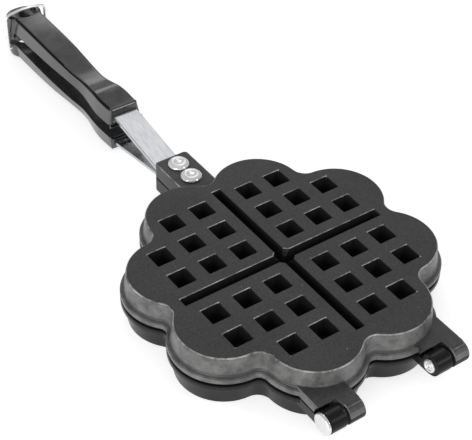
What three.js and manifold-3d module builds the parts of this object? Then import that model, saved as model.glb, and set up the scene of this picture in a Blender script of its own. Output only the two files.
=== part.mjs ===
// Stovetop waffle iron: two cast plates with four heart moulds, hinged at one end and
// carried at the other by two handles that a wire bail holds together.
// Millimetres, +Z up. The handles point to -X and the hinge lies at +X. The origin is
// the middle of the bottom of the whole object's box.
// Both halves are the same castings: each is drawn once, as the upper one, from the
// plane where the two plates meet, and the lower half is the same half turned over.
import * as THREE from 'three';
import { mergeVertices } from 'three/addons/utils/BufferGeometryUtils.js';
import Module from 'manifold-3d';

const wasm = await Module();
wasm.setup();

// Clearances
const FIT_GAP = 0.3;
const KNUCKLE_GAP = 1.2;
const OVERRUN = 2;

// Where the middle point of a rounded edge lies, as a share of the edge's size
const ROUND_SHARE = 0.3;

// Plate: the outline has eight lobes with filleted notches between them
const PLATE_HEIGHT = 16.4;
const PARTING_GAP = 1.2;
const LOBE_COUNT = 8;
const LOBE_RADIUS = 26.7;
const LOBE_REACH = 60.4;
const NOTCH_RADIUS = 8.4;
const LOBE_STEPS = 8;
const NOTCH_STEPS = 3;
const TOP_EDGE = 0.9;
const WALL_DRAFT = 1.3;
const FLANGE_WIDTH = 3.5;
const FLANGE_HEIGHT = 3.6;
const FLANGE_EDGE = 0.6;
const FLANGE_FILLET = 1.8;

// Inside of the plate: four hearts, and hollow studs that press the squares
const ROOF_THICKNESS = 4.5;
const RIM_WIDTH = 5.2;
const CAVITY_DRAFT = 1.2;
const RIDGE_WIDTH = 8.4;
const HEART_CUSP = 1.2;
const HEART_STEPS = 7;
const STUD_PITCH = 20;
const STUD_FIRST = 16.1;
const STUD_ROWS = 3;
const STUD_BASE = 13.2;
const STUD_TIP = 10.4;
const STUD_SETBACK = 3.1;
const POCKET_MOUTH = 11.2;
const POCKET_FLOOR = 7.4;
const POCKET_DEPTH = 10.8;
const GROOVE_WIDTH = 5.4;
const GROOVE_FLOOR = 3.4;
const GROOVE_DEPTH = 9;
const GROOVE_SETBACK = 20;

// Hinge: two arms with half-width knuckles, and a riveted pin in each
const PIN_STANDOFF = 9.8;
const KNUCKLE_RADIUS = 6.4;
const ARM_WIDTH = 21.6;
const ARM_OFFSET = 34.8;
const ARM_OVERLAP = 20;
const NOTCH_SETBACK = 4.6;
const KNUCKLE_STEPS = 15;
const PIN_RADIUS = 3.2;
const PIN_HEAD_RADIUS = 6.2;
const PIN_HEAD_HEIGHT = 1.6;
const PIN_TAIL_RADIUS = 3.9;
const PIN_TAIL_HEIGHT = 1.2;
const PIN_CHAMFER = 0.5;
const ROUND_STEPS = 20;

// Handle lug: a channel over the strap, with two rivets
const LUG_WIDTH = 22.8;
const LUG_HEIGHT = 10;
const LUG_CORNER = 2.6;
const CORNER_STEPS = 6;
const RIVET_RADIUS = 2.5;
const RIVET_HEAD_RADIUS = 6.4;
const RIVET_HEAD_HEIGHT = 2.5;
const DOME_STEPS = 5;
const RIVET_STANDOFF = 5.6;
const RIVET_SETBACK = 9.4;
const RIVET_SPACING = 13.8;

// Strap: a flat bar, bent up where it leaves the lug and level again inside the grip
const STRAP_WIDTH = 16.4;
const STRAP_THICKNESS = 2.5;
const STRAP_LIFT = 0.9;
const STRAP_SHOULDER = 7.6;
const STRAP_BEND_OFFSET = 4.2;
const STRAP_SHOWN = 49.5;
const STRAP_HIDDEN = 88.5;
const STRAP_RISE_DEG = 9.2;

// Grip: lengths along the handle are counted from the grip's front end
const GRIP_LENGTH = 149.6;
const GRIP_WIDTH = 20.4;
const GRIP_FLARE = 1.7;
const GRIP_EDGE = 0.9;
const GRIP_LIFT = 4.3;
const GRIP_TIP = 1.1;
const GRIP_STATIONS = 28;
const COLLAR_LENGTH = 2;
const COLLAR_STEP = 0.9;
const RING_RADIUS = 13.4;
const RING_END_SLOPE = 4;
const HOLE_LENGTH = 16.6;
const HOLE_WIDTH = 15.8;
const HOLE_STEPS = 24;

// The grip's outer face, inner face and half-width along its length. Each row gives
// the place as a share of the length, then a share of the grip's depth or width. Both
// faces are counted from the height of the inner face's front end.
const GRIP_DEPTH = 11.6;
const OUTER_FACE_SHARES = [
  [0, 0.95], [0.058, 0.99], [0.165, 1], [0.223, 0.93], [0.291, 0.81], [0.369, 0.78],
  [0.456, 0.84], [0.543, 0.91], [0.64, 0.96], [0.757, 0.99], [0.883, 0.99],
];
const INNER_FACE_SHARES = [
  [0, 0], [0.136, 0], [0.194, 0.05], [0.291, 0.12], [0.369, 0.16], [0.485, 0.13],
  [0.63, 0.09], [0.776, 0.03], [1, 0],
];
const HALF_WIDTH_SHARES = [
  [0, 0.455], [0.048, 0.475], [0.126, 0.485], [0.184, 0.445], [0.252, 0.385], [0.301, 0.37],
  [0.369, 0.4], [0.456, 0.43], [0.543, 0.455], [0.679, 0.465], [0.834, 0.465],
];
const CURVE_STEPS = 12;

// Grip screw, from the grip's inner face into the strap
const SCREW_OFFSET = 32.5;
const SCREW_RADIUS = 1.7;
const SCREW_HEAD_RADIUS = 3.3;
const SCREW_HEAD_HEIGHT = 1.3;
const SCREW_SINK = 0.4;

// Wire bail on the lower grip's end, a little in front of the ring's centre
const WIRE_RADIUS = 1;
const BAIL_SETBACK = 3;
const BAIL_DEPTH = 8;
const BAIL_SHOULDER = 17.6;
const BAIL_CROWN = 1.8;
const BAIL_BEND = 3;
const BAIL_FOOT_BEND = 1.6;
const BAIL_TAIL = 4.6;
const WIRE_SIDES = 8;
const WIRE_STEPS = 72;

// Places worked out from the sizes above
const HALF_GAP = PARTING_GAP / 2;
const PLATE_REACH = LOBE_REACH * Math.cos(Math.PI / LOBE_COUNT) + LOBE_RADIUS + FLANGE_WIDTH;
const GROOVE_REACH = PLATE_REACH - GROOVE_SETBACK;
const ARM_ROOT = PLATE_REACH - ARM_OVERLAP;
const PIN_REACH = PLATE_REACH + PIN_STANDOFF;
const NOTCH_REACH = PIN_REACH - NOTCH_SETBACK;
const PIN_END_REACH = PIN_REACH + KNUCKLE_RADIUS;
const FRONT_RIVET_REACH = PLATE_REACH + RIVET_STANDOFF;
const REAR_RIVET_REACH = FRONT_RIVET_REACH + RIVET_SPACING;
const LUG_REACH = REAR_RIVET_REACH + RIVET_SETBACK;
const RIVET_REACHES = { front: FRONT_RIVET_REACH, rear: REAR_RIVET_REACH };
const STRAP_ROOT = FRONT_RIVET_REACH - STRAP_SHOULDER;
const STRAP_BEND_REACH = LUG_REACH + STRAP_BEND_OFFSET;
const GRIP_FRONT_REACH = LUG_REACH + STRAP_SHOWN;
const STRAP_CRANK_REACH = GRIP_FRONT_REACH + COLLAR_LENGTH;
const STRAP_END_REACH = GRIP_FRONT_REACH + STRAP_HIDDEN;
const SCREW_REACH = GRIP_FRONT_REACH + SCREW_OFFSET;
const GRIP_END_REACH = GRIP_FRONT_REACH + GRIP_LENGTH;
const RING_REACH = GRIP_END_REACH - RING_RADIUS;
const BAIL_REACH = RING_REACH - BAIL_SETBACK;
const PLATE_CENTRE_X = (GRIP_END_REACH - PIN_END_REACH) / 2;
const STRAP_SLOPE = Math.tan(THREE.MathUtils.degToRad(STRAP_RISE_DEG));
const RING_SIDE = RING_RADIUS + FIT_GAP + WIRE_RADIUS;

// Materials
const castCoating = new THREE.MeshStandardMaterial({ color: 0x3d3e40, roughness: 0.55, metalness: 0.3 });
const lowerCoating = new THREE.MeshStandardMaterial({ color: 0x37383a, roughness: 0.42, metalness: 0.3 });
const satinSteel = new THREE.MeshStandardMaterial({ color: 0xc9cacc, roughness: 0.35, metalness: 1 });
const polishedSteel = new THREE.MeshStandardMaterial({ color: 0xd8d8d8, roughness: 0.2, metalness: 1 });
const phenolic = new THREE.MeshStandardMaterial({ color: 0x121213, roughness: 0.25, metalness: 0 });

// Closed meshes to solids and back
function toSolid(geometry) {
  const bare = new THREE.BufferGeometry();
  bare.setAttribute('position', geometry.getAttribute('position'));
  if (geometry.index) bare.setIndex(geometry.index);
  const merged = mergeVertices(bare, 1e-4);
  const vertProperties = Float32Array.from(merged.getAttribute('position').array);
  const triVerts = Uint32Array.from(merged.index.array);
  return new wasm.Manifold(new wasm.Mesh({ numProp: 3, vertProperties, triVerts }));
}

function toGeometry(solid) {
  const mesh = solid.getMesh();
  const geometry = new THREE.BufferGeometry();
  geometry.setAttribute('position', new THREE.BufferAttribute(mesh.vertProperties, 3));
  geometry.setIndex(new THREE.BufferAttribute(mesh.triVerts, 1));
  geometry.computeVertexNormals();
  return geometry;
}

function join(solids) {
  return solids.reduce((sum, solid) => sum.add(solid));
}

function cut(solid, cutters) {
  return solid.subtract(join(cutters));
}

// A solid through a row of rings with the same number of points
function loft(rings) {
  const count = rings[0].length;
  const positions = [];
  const indices = [];
  for (const ring of rings) {
    for (const point of ring) positions.push(point.x, point.y, point.z);
  }
  for (let level = 0; level + 1 < rings.length; level += 1) {
    for (let i = 0; i < count; i += 1) {
      const next = (i + 1) % count;
      const a = level * count + i;
      const b = level * count + next;
      indices.push(a, b, a + count, b, b + count, a + count);
    }
  }
  const closeEnd = (level, flip) => {
    const flat = rings[level].map((point) => flatten(point, rings));
    const faces = THREE.ShapeUtils.triangulateShape(flat, []);
    for (const [a, b, c] of faces) {
      const face = [a, b, c].map((i) => level * count + i);
      indices.push(...(flip ? face.reverse() : face));
    }
  };
  closeEnd(0, true);
  closeEnd(rings.length - 1, false);
  const geometry = new THREE.BufferGeometry();
  geometry.setAttribute('position', new THREE.Float32BufferAttribute(positions, 3));
  geometry.setIndex(indices);
  return geometry;
}

// Rings that lie flat are seen from above, and upright ones from the handle's end
function flatten(point, rings) {
  const lying = rings[0].every((other) => Math.abs(other.z - rings[0][0].z) < 1e-6);
  return lying ? new THREE.Vector2(point.x, point.y) : new THREE.Vector2(-point.y, point.z);
}

function liftRing(points, z) {
  return points.map((point) => new THREE.Vector3(point.x, point.y, z));
}

// An upright outline in X and Z, drawn across from one Y to another
function acrossBar(outline, fromY, toY) {
  const shape = new THREE.Shape(outline);
  const geometry = new THREE.ExtrudeGeometry(shape, { depth: toY - fromY, bevelEnabled: false });
  geometry.rotateX(Math.PI / 2);
  geometry.translate(0, toY, 0);
  return geometry;
}

// A flat outline in X and Y, drawn up from one Z to another
function upright(shape, fromZ, toZ) {
  const options = { depth: toZ - fromZ, bevelEnabled: false, curveSegments: CORNER_STEPS };
  const geometry = new THREE.ExtrudeGeometry(shape, options);
  geometry.translate(0, 0, fromZ);
  return geometry;
}

function post(radius, fromZ, toZ, x, y = 0) {
  const geometry = new THREE.CylinderGeometry(radius, radius, toZ - fromZ, ROUND_STEPS);
  geometry.rotateX(Math.PI / 2);
  geometry.translate(x, y, (fromZ + toZ) / 2);
  return toSolid(geometry);
}

function crossBore(radius, fromY, toY, x, z) {
  const geometry = new THREE.CylinderGeometry(radius, radius, toY - fromY, ROUND_STEPS);
  geometry.translate(x, (fromY + toY) / 2, z);
  return toSolid(geometry);
}

// A square frustum or an oblong one, wide end first
function taperedBlock(x, y, top, bottom, topZ, bottomZ) {
  const ring = ([length, width], z) => [
    new THREE.Vector3(x - length / 2, y - width / 2, z),
    new THREE.Vector3(x + length / 2, y - width / 2, z),
    new THREE.Vector3(x + length / 2, y + width / 2, z),
    new THREE.Vector3(x - length / 2, y + width / 2, z),
  ];
  return toSolid(loft([ring(bottom, bottomZ), ring(top, topZ)]));
}

// Plate outline, moved outwards by an offset
function scallop(offset) {
  const step = (2 * Math.PI) / LOBE_COUNT;
  const halfChord = LOBE_REACH * Math.sin(step / 2);
  const toNotchCentre = Math.sqrt((LOBE_RADIUS + NOTCH_RADIUS) ** 2 - halfChord ** 2);
  const notchReach = LOBE_REACH * Math.cos(step / 2) + toNotchCentre;
  const points = [];
  for (let lobe = 0; lobe < LOBE_COUNT; lobe += 1) {
    const middle = (lobe + 0.5) * step;
    const centre = new THREE.Vector2(LOBE_REACH, 0).rotateAround(new THREE.Vector2(), middle);
    const notch = new THREE.Vector2(notchReach, 0).rotateAround(new THREE.Vector2(), middle + step / 2);
    const toNotch = notch.clone().sub(centre).angle();
    const spread = THREE.MathUtils.euclideanModulo(toNotch - middle, 2 * Math.PI);
    for (let i = 0; i <= LOBE_STEPS; i += 1) {
      const angle = middle - spread + (2 * spread * i) / LOBE_STEPS;
      const arm = new THREE.Vector2(LOBE_RADIUS + offset, 0).rotateAround(new THREE.Vector2(), angle);
      points.push(centre.clone().add(arm));
    }
    const turn = 2 * spread - step;
    for (let i = 1; i < NOTCH_STEPS; i += 1) {
      const angle = toNotch + Math.PI - (turn * i) / NOTCH_STEPS;
      const arm = new THREE.Vector2(NOTCH_RADIUS - offset, 0).rotateAround(new THREE.Vector2(), angle);
      points.push(notch.clone().add(arm));
    }
  }
  return points;
}

function plateShell() {
  const flangeTop = HALF_GAP + FLANGE_HEIGHT;
  const levels = [
    [FLANGE_WIDTH - FLANGE_EDGE, HALF_GAP],
    [FLANGE_WIDTH, HALF_GAP + FLANGE_EDGE],
    [FLANGE_WIDTH, flangeTop],
    [WALL_DRAFT + FLANGE_FILLET * ROUND_SHARE, flangeTop + FLANGE_FILLET * ROUND_SHARE],
    [WALL_DRAFT, flangeTop + FLANGE_FILLET],
    [0, PLATE_HEIGHT - TOP_EDGE],
    [-TOP_EDGE * ROUND_SHARE, PLATE_HEIGHT - TOP_EDGE * ROUND_SHARE],
    [-TOP_EDGE, PLATE_HEIGHT],
  ];
  return toSolid(loft(levels.map(([offset, z]) => liftRing(scallop(offset), z))));
}

// One heart of the mould: two lobes with a short flat between them, and a square corner
// that points to the centre
function heart(inset) {
  const reach = LOBE_REACH * Math.cos(Math.PI / LOBE_COUNT);
  const side = LOBE_REACH * Math.sin(Math.PI / LOBE_COUNT);
  const radius = LOBE_RADIUS + FLANGE_WIDTH - RIM_WIDTH - inset;
  const edge = RIDGE_WIDTH / 2 - CAVITY_DRAFT + inset;
  const start = -Math.asin((side - edge) / radius);
  const toCusp = (reach - side) / Math.SQRT2 - HEART_CUSP / 2;
  const end = 0.75 * Math.PI - Math.acos(Math.min(1, toCusp / radius));
  const points = [new THREE.Vector2(edge, edge)];
  const arc = [];
  for (let i = 0; i <= HEART_STEPS; i += 1) {
    const angle = start + ((end - start) * i) / HEART_STEPS;
    arc.push(new THREE.Vector2(reach + radius * Math.cos(angle), side + radius * Math.sin(angle)));
  }
  points.push(...arc);
  points.push(...arc.reverse().map((point) => new THREE.Vector2(point.y, point.x)));
  return points;
}

function heartCavities() {
  const ceiling = PLATE_HEIGHT - ROOF_THICKNESS;
  const rings = [
    liftRing(heart(0), -OVERRUN),
    liftRing(heart(0), HALF_GAP),
    liftRing(heart(CAVITY_DRAFT), ceiling),
  ];
  const single = toSolid(loft(rings));
  return [0, 90, 180, 270].map((turn) => single.rotate([0, 0, turn]));
}

// Places of the squares: three by three in each quarter, without the outer corner
function studPlaces() {
  const places = [];
  for (let i = 0; i < STUD_ROWS; i += 1) {
    for (let j = 0; j < STUD_ROWS; j += 1) {
      if (i === STUD_ROWS - 1 && j === STUD_ROWS - 1) continue;
      const x = STUD_FIRST + i * STUD_PITCH;
      const y = STUD_FIRST + j * STUD_PITCH;
      places.push([x, y], [-x, y], [x, -y], [-x, -y]);
    }
  }
  return places;
}

function studs() {
  const ceiling = PLATE_HEIGHT - ROOF_THICKNESS;
  return studPlaces().map(([x, y]) => taperedBlock(
    x, y, [STUD_BASE, STUD_BASE], [STUD_TIP, STUD_TIP], ceiling + FIT_GAP, STUD_SETBACK,
  ));
}

// A tapered pocket sunk in the outer face, carried past the face at the same slope
function pocket(x, y, mouth, floor, depth) {
  const grow = (OVERRUN / depth);
  const wide = mouth.map((size, i) => size + (size - floor[i]) * grow);
  return taperedBlock(x, y, wide, floor, PLATE_HEIGHT + OVERRUN, PLATE_HEIGHT - depth);
}

function outerPockets() {
  const mouth = [POCKET_MOUTH, POCKET_MOUTH];
  const floor = [POCKET_FLOOR, POCKET_FLOOR];
  const squares = studPlaces().map(([x, y]) => pocket(x, y, mouth, floor, POCKET_DEPTH));
  const long = [2 * GROOVE_REACH, GROOVE_WIDTH];
  const longFloor = [2 * GROOVE_REACH - (GROOVE_WIDTH - GROOVE_FLOOR), GROOVE_FLOOR];
  const groove = pocket(0, 0, long, longFloor, GROOVE_DEPTH);
  return [...squares, groove, groove.rotate([0, 0, 90])];
}

// Hinge arm, seen from the side: a bar whose outer end is either a round knuckle or
// cut back round the other half's knuckle
function knuckleOutline() {
  const points = [new THREE.Vector2(ARM_ROOT, HALF_GAP)];
  const start = Math.PI - Math.asin(HALF_GAP / KNUCKLE_RADIUS);
  for (let i = 0; i <= KNUCKLE_STEPS; i += 1) {
    const angle = start + ((2.5 * Math.PI - start) * i) / KNUCKLE_STEPS;
    const x = PIN_REACH + KNUCKLE_RADIUS * Math.cos(angle);
    points.push(new THREE.Vector2(x, KNUCKLE_RADIUS * Math.sin(angle)));
  }
  points.push(new THREE.Vector2(ARM_ROOT, KNUCKLE_RADIUS));
  return points;
}

function notchOutline() {
  const radius = KNUCKLE_RADIUS + KNUCKLE_GAP;
  const points = [new THREE.Vector2(ARM_ROOT, HALF_GAP)];
  const start = Math.PI - Math.asin(HALF_GAP / radius);
  const end = Math.acos((NOTCH_REACH - PIN_REACH) / radius);
  const steps = KNUCKLE_STEPS / 3;
  for (let i = 0; i <= steps; i += 1) {
    const angle = start + ((end - start) * i) / steps;
    points.push(new THREE.Vector2(PIN_REACH + radius * Math.cos(angle), radius * Math.sin(angle)));
  }
  points.push(new THREE.Vector2(NOTCH_REACH, KNUCKLE_RADIUS));
  points.push(new THREE.Vector2(ARM_ROOT, KNUCKLE_RADIUS));
  return points;
}

function hingeArm(middleY) {
  const split = middleY + KNUCKLE_GAP / 2;
  const inner = middleY - ARM_WIDTH / 2;
  const outer = middleY + ARM_WIDTH / 2;
  const knuckle = toSolid(acrossBar(knuckleOutline(), split, outer));
  const bore = crossBore(PIN_RADIUS + FIT_GAP, split - OVERRUN, outer + OVERRUN, PIN_REACH, 0);
  const notched = toSolid(acrossBar(notchOutline(), inner, split));
  return knuckle.subtract(bore).add(notched);
}

// Handle lug in plan: a bar with rounded rear corners
function lugShape(width, corner) {
  const half = width / 2;
  const shape = new THREE.Shape();
  shape.moveTo(-ARM_ROOT, -half);
  shape.lineTo(-ARM_ROOT, half);
  shape.lineTo(-LUG_REACH + corner, half);
  shape.quadraticCurveTo(-LUG_REACH, half, -LUG_REACH, half - corner);
  shape.lineTo(-LUG_REACH, corner - half);
  shape.quadraticCurveTo(-LUG_REACH, -half, -LUG_REACH + corner, -half);
  return shape;
}

function lugChannel() {
  const roof = STRAP_LIFT + STRAP_THICKNESS + FIT_GAP;
  const from = STRAP_ROOT - FIT_GAP;
  const outline = [
    new THREE.Vector2(-from, -OVERRUN),
    new THREE.Vector2(-from, roof),
    new THREE.Vector2(-LUG_REACH - OVERRUN, roof),
    new THREE.Vector2(-LUG_REACH - OVERRUN, -OVERRUN),
  ];
  const half = STRAP_WIDTH / 2 + FIT_GAP;
  return toSolid(acrossBar(outline, -half, half));
}

function makePlate() {
  const lug = toSolid(upright(lugShape(LUG_WIDTH, LUG_CORNER), HALF_GAP, LUG_HEIGHT));
  const arms = [-ARM_OFFSET, ARM_OFFSET].map(hingeArm);
  const body = join([plateShell(), lug, ...arms]);
  const rivetHoles = Object.values(RIVET_REACHES).map(
    (reach) => post(RIVET_RADIUS + FIT_GAP, 0, LUG_HEIGHT + OVERRUN, -reach),
  );
  const hollow = cut(body, [...heartCavities(), lugChannel(), ...rivetHoles]);
  return toGeometry(cut(join([hollow, ...studs()]), outerPockets()));
}

// Height of the strap's middle line above the parting plane at a reach
function strapMiddle(reach) {
  const rising = THREE.MathUtils.clamp(reach, STRAP_BEND_REACH, STRAP_CRANK_REACH) - STRAP_BEND_REACH;
  return STRAP_LIFT + STRAP_THICKNESS / 2 + rising * STRAP_SLOPE;
}

// A band about a line of points, seen from the side, with mitred bends
function bandOutline(line, half) {
  const offsets = line.map((point, i) => {
    const from = line[Math.max(i - 1, 0)];
    const to = line[Math.min(i + 1, line.length - 1)];
    const before = (i > 0 ? point.clone().sub(from) : to.clone().sub(point)).normalize();
    const after = (i < line.length - 1 ? to.clone().sub(point) : before.clone()).normalize();
    const along = before.clone().add(after).normalize();
    return new THREE.Vector2(-along.y, along.x).multiplyScalar(half / along.dot(before));
  });
  const low = line.map((point, i) => point.clone().add(offsets[i]));
  const high = line.map((point, i) => point.clone().sub(offsets[i]));
  return [...low, ...high.reverse()];
}

// The strap, grown by a clearance on all its faces
function strapSolid(clearance) {
  const reaches = [STRAP_ROOT - clearance, STRAP_BEND_REACH, STRAP_CRANK_REACH, STRAP_END_REACH + clearance];
  const line = reaches.map((reach) => new THREE.Vector2(-reach, strapMiddle(reach)));
  const half = STRAP_WIDTH / 2 + clearance;
  return toSolid(acrossBar(bandOutline(line, STRAP_THICKNESS / 2 + clearance), -half, half));
}

function makeStrap() {
  const rivetHoles = Object.values(RIVET_REACHES).map(
    (reach) => post(RIVET_RADIUS + FIT_GAP, 0, LUG_HEIGHT, -reach),
  );
  const middle = strapMiddle(SCREW_REACH);
  const screwHole = post(SCREW_RADIUS + FIT_GAP, middle - STRAP_WIDTH, middle + STRAP_WIDTH, -SCREW_REACH);
  return toGeometry(cut(strapSolid(0), [...rivetHoles, screwHole]));
}

// A smooth line through rows of shares, read at a share of the grip's length
function smoothLine(rows, reference) {
  const curve = new THREE.SplineCurve(rows.map(([along, share]) => new THREE.Vector2(along, share)));
  const samples = curve.getPoints(rows.length * CURVE_STEPS);
  return (along) => {
    const next = Math.max(1, samples.findIndex((point) => point.x >= along));
    const [a, b] = [samples[next - 1], samples[next]];
    const blend = THREE.MathUtils.clamp((along - a.x) / (b.x - a.x), 0, 1);
    return THREE.MathUtils.lerp(a.y, b.y, blend) * reference;
  };
}

const outerFace = smoothLine(OUTER_FACE_SHARES, GRIP_DEPTH);
const innerFace = smoothLine(INNER_FACE_SHARES, GRIP_DEPTH);
const bodyHalfWidth = smoothLine(HALF_WIDTH_SHARES, GRIP_WIDTH);

// Half-width of the grip's outer face: the body, then the round ring end
function gripHalfWidth(reach) {
  const fromRing = reach - RING_REACH;
  const ring = Math.sqrt(Math.max(0, RING_RADIUS ** 2 - fromRing ** 2)) - GRIP_FLARE;
  const along = Math.min((reach - GRIP_FRONT_REACH) / GRIP_LENGTH, HALF_WIDTH_SHARES.at(-1)[0]);
  const body = bodyHalfWidth(along);
  return fromRing > 0 ? Math.max(ring, 0) : Math.max(body, fromRing > -RING_RADIUS ? ring : 0);
}

function gripOuter(reach) {
  const drop = (RING_END_SLOPE * Math.max(0, reach - RING_REACH)) / RING_RADIUS;
  const along = Math.min((reach - GRIP_FRONT_REACH) / GRIP_LENGTH, OUTER_FACE_SHARES.at(-1)[0]);
  return GRIP_LIFT + outerFace(along) - drop;
}

function gripInner(reach) {
  return GRIP_LIFT + innerFace((reach - GRIP_FRONT_REACH) / GRIP_LENGTH);
}

// Grip section: sides that lean in towards the outer face, with all edges broken
function gripRing(reach, shrink) {
  const outer = gripOuter(reach) - shrink;
  const inner = gripInner(reach) + shrink;
  const narrow = Math.max(gripHalfWidth(reach) - shrink, GRIP_TIP);
  const wide = narrow + GRIP_FLARE;
  const edge = GRIP_EDGE;
  const half = [
    [narrow - edge, outer],
    [narrow, outer - edge],
    [wide, inner + edge],
    [wide - edge, inner],
  ];
  const right = half.map(([y, z]) => new THREE.Vector3(-reach, y, z));
  const left = half.map(([y, z]) => new THREE.Vector3(-reach, -y, z)).reverse();
  return [...right, ...left];
}

function gripReaches() {
  const bodyEnd = RING_REACH - RING_RADIUS / 2;
  const bodyStart = GRIP_FRONT_REACH + COLLAR_LENGTH;
  const reaches = [];
  const bodySteps = GRIP_STATIONS - HOLE_STEPS / 3;
  for (let i = 0; i < bodySteps; i += 1) {
    reaches.push(THREE.MathUtils.lerp(bodyStart, bodyEnd, i / bodySteps));
  }
  const ringSteps = HOLE_STEPS / 3;
  for (let i = 0; i <= ringSteps; i += 1) {
    const angle = THREE.MathUtils.lerp(Math.PI / 6, -Math.PI * 0.47, i / ringSteps);
    reaches.push(RING_REACH - RING_RADIUS * Math.sin(angle));
  }
  return reaches;
}

function gripBody() {
  const collarFront = gripRing(GRIP_FRONT_REACH, COLLAR_STEP);
  const collarBack = gripRing(GRIP_FRONT_REACH + COLLAR_LENGTH - FIT_GAP / 2, COLLAR_STEP);
  const rings = gripReaches().map((reach) => gripRing(reach, 0));
  return toSolid(loft([collarFront, collarBack, ...rings]));
}

function hangingHole() {
  const shape = new THREE.Shape();
  shape.absellipse(-RING_REACH, 0, HOLE_LENGTH / 2, HOLE_WIDTH / 2, 0, 2 * Math.PI);
  const outline = new THREE.Shape(shape.getSpacedPoints(HOLE_STEPS).slice(0, -1));
  return toSolid(upright(outline, 0, GRIP_LIFT + GRIP_DEPTH + OVERRUN));
}

function makeGrip(holdsBail) {
  const face = gripInner(SCREW_REACH);
  const cutters = [
    strapSolid(FIT_GAP),
    hangingHole(),
    post(SCREW_RADIUS + FIT_GAP, -OVERRUN, strapMiddle(SCREW_REACH), -SCREW_REACH),
    post(SCREW_HEAD_RADIUS + FIT_GAP, -OVERRUN, face + SCREW_SINK + SCREW_HEAD_HEIGHT, -SCREW_REACH),
  ];
  if (holdsBail) {
    const deep = RING_SIDE - BAIL_TAIL - FIT_GAP;
    const outside = RING_SIDE + OVERRUN;
    cutters.push(crossBore(WIRE_RADIUS + FIT_GAP, deep, outside, -BAIL_REACH, BAIL_DEPTH));
    cutters.push(crossBore(WIRE_RADIUS + FIT_GAP, -outside, -deep, -BAIL_REACH, BAIL_DEPTH));
  }
  return toGeometry(cut(gripBody(), cutters));
}

// Round pieces, turned about Z
function makeRivet() {
  const foot = STRAP_LIFT;
  const seat = LUG_HEIGHT + FIT_GAP;
  const profile = [new THREE.Vector2(0, foot), new THREE.Vector2(RIVET_RADIUS, foot)];
  profile.push(new THREE.Vector2(RIVET_RADIUS, seat), new THREE.Vector2(RIVET_HEAD_RADIUS, seat));
  const dome = new THREE.EllipseCurve(0, seat, RIVET_HEAD_RADIUS, RIVET_HEAD_HEIGHT, 0, Math.PI / 2);
  profile.push(...dome.getPoints(DOME_STEPS).slice(1));
  profile.at(-1).x = 0;
  return new THREE.LatheGeometry(profile, ROUND_STEPS);
}

function makeScrew() {
  const face = gripInner(SCREW_REACH) + SCREW_SINK;
  const shoulder = face + SCREW_HEAD_HEIGHT - FIT_GAP;
  const tip = strapMiddle(SCREW_REACH) + STRAP_THICKNESS / 2;
  const profile = [
    new THREE.Vector2(0, face),
    new THREE.Vector2(SCREW_HEAD_RADIUS, face),
    new THREE.Vector2(SCREW_HEAD_RADIUS, shoulder),
    new THREE.Vector2(SCREW_RADIUS, shoulder),
    new THREE.Vector2(SCREW_RADIUS, tip),
    new THREE.Vector2(0, tip),
  ];
  return new THREE.LatheGeometry(profile, ROUND_STEPS);
}

// Hinge pin along Y, with a small riveted end at -Y and a head or the same end at +Y
function makePin(headed) {
  const half = ARM_WIDTH / 2 + FIT_GAP;
  const radius = headed ? PIN_HEAD_RADIUS : PIN_TAIL_RADIUS;
  const height = headed ? PIN_HEAD_HEIGHT : PIN_TAIL_HEIGHT;
  const profile = [
    new THREE.Vector2(0, -half - PIN_TAIL_HEIGHT),
    new THREE.Vector2(PIN_TAIL_RADIUS - PIN_CHAMFER, -half - PIN_TAIL_HEIGHT),
    new THREE.Vector2(PIN_TAIL_RADIUS, -half - PIN_TAIL_HEIGHT + PIN_CHAMFER),
    new THREE.Vector2(PIN_TAIL_RADIUS, -half),
    new THREE.Vector2(PIN_RADIUS, -half),
    new THREE.Vector2(PIN_RADIUS, half),
    new THREE.Vector2(radius, half),
    new THREE.Vector2(radius, half + height - PIN_CHAMFER),
    new THREE.Vector2(radius - PIN_CHAMFER, half + height),
    new THREE.Vector2(0, half + height),
  ];
  return new THREE.LatheGeometry(profile, ROUND_STEPS);
}

// Bail: bent in at both ends, up past the grips' sides and over in a low arch
function makeBail() {
  const side = RING_SIDE;
  const tail = side - BAIL_TAIL;
  const low = -BAIL_DEPTH;
  const shoulder = BAIL_SHOULDER;
  const neck = shoulder - BAIL_BEND;
  const crown = shoulder + BAIL_CROWN;
  const at = (y, z) => new THREE.Vector3(0, y, z);
  const line = (from, to) => new THREE.LineCurve3(from, to);
  const bend = (from, corner, to) => new THREE.QuadraticBezierCurve3(from, corner, to);
  const half = (sign) => {
    const foot = at(sign * (side - BAIL_FOOT_BEND), low);
    const leg = at(sign * side, low + BAIL_FOOT_BEND);
    const top = at(sign * side, neck);
    const arch = at(sign * (side - BAIL_BEND), shoulder);
    return [
      line(at(sign * tail, low), foot),
      bend(foot, at(sign * side, low), leg),
      line(leg, top),
      bend(top, at(sign * side, shoulder - BAIL_CROWN / 2), arch),
      bend(arch, at((sign * side) / 2, crown), at(0, crown)),
    ];
  };
  const back = (curve) => {
    if (curve.isLineCurve3) return line(curve.v2, curve.v1);
    return bend(curve.v2, curve.v1, curve.v0);
  };
  const path = new THREE.CurvePath();
  path.curves.push(...half(-1), ...half(1).reverse().map(back));
  const section = new THREE.Shape();
  section.absarc(0, 0, WIRE_RADIUS, 0, 2 * Math.PI);
  const outline = new THREE.Shape(section.getSpacedPoints(WIRE_SIDES).slice(0, -1));
  return new THREE.ExtrudeGeometry(outline, { steps: WIRE_STEPS, extrudePath: path, bevelEnabled: false });
}

function piece(name, geometry, material) {
  const mesh = new THREE.Mesh(geometry, material);
  mesh.name = name;
  return mesh;
}

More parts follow.
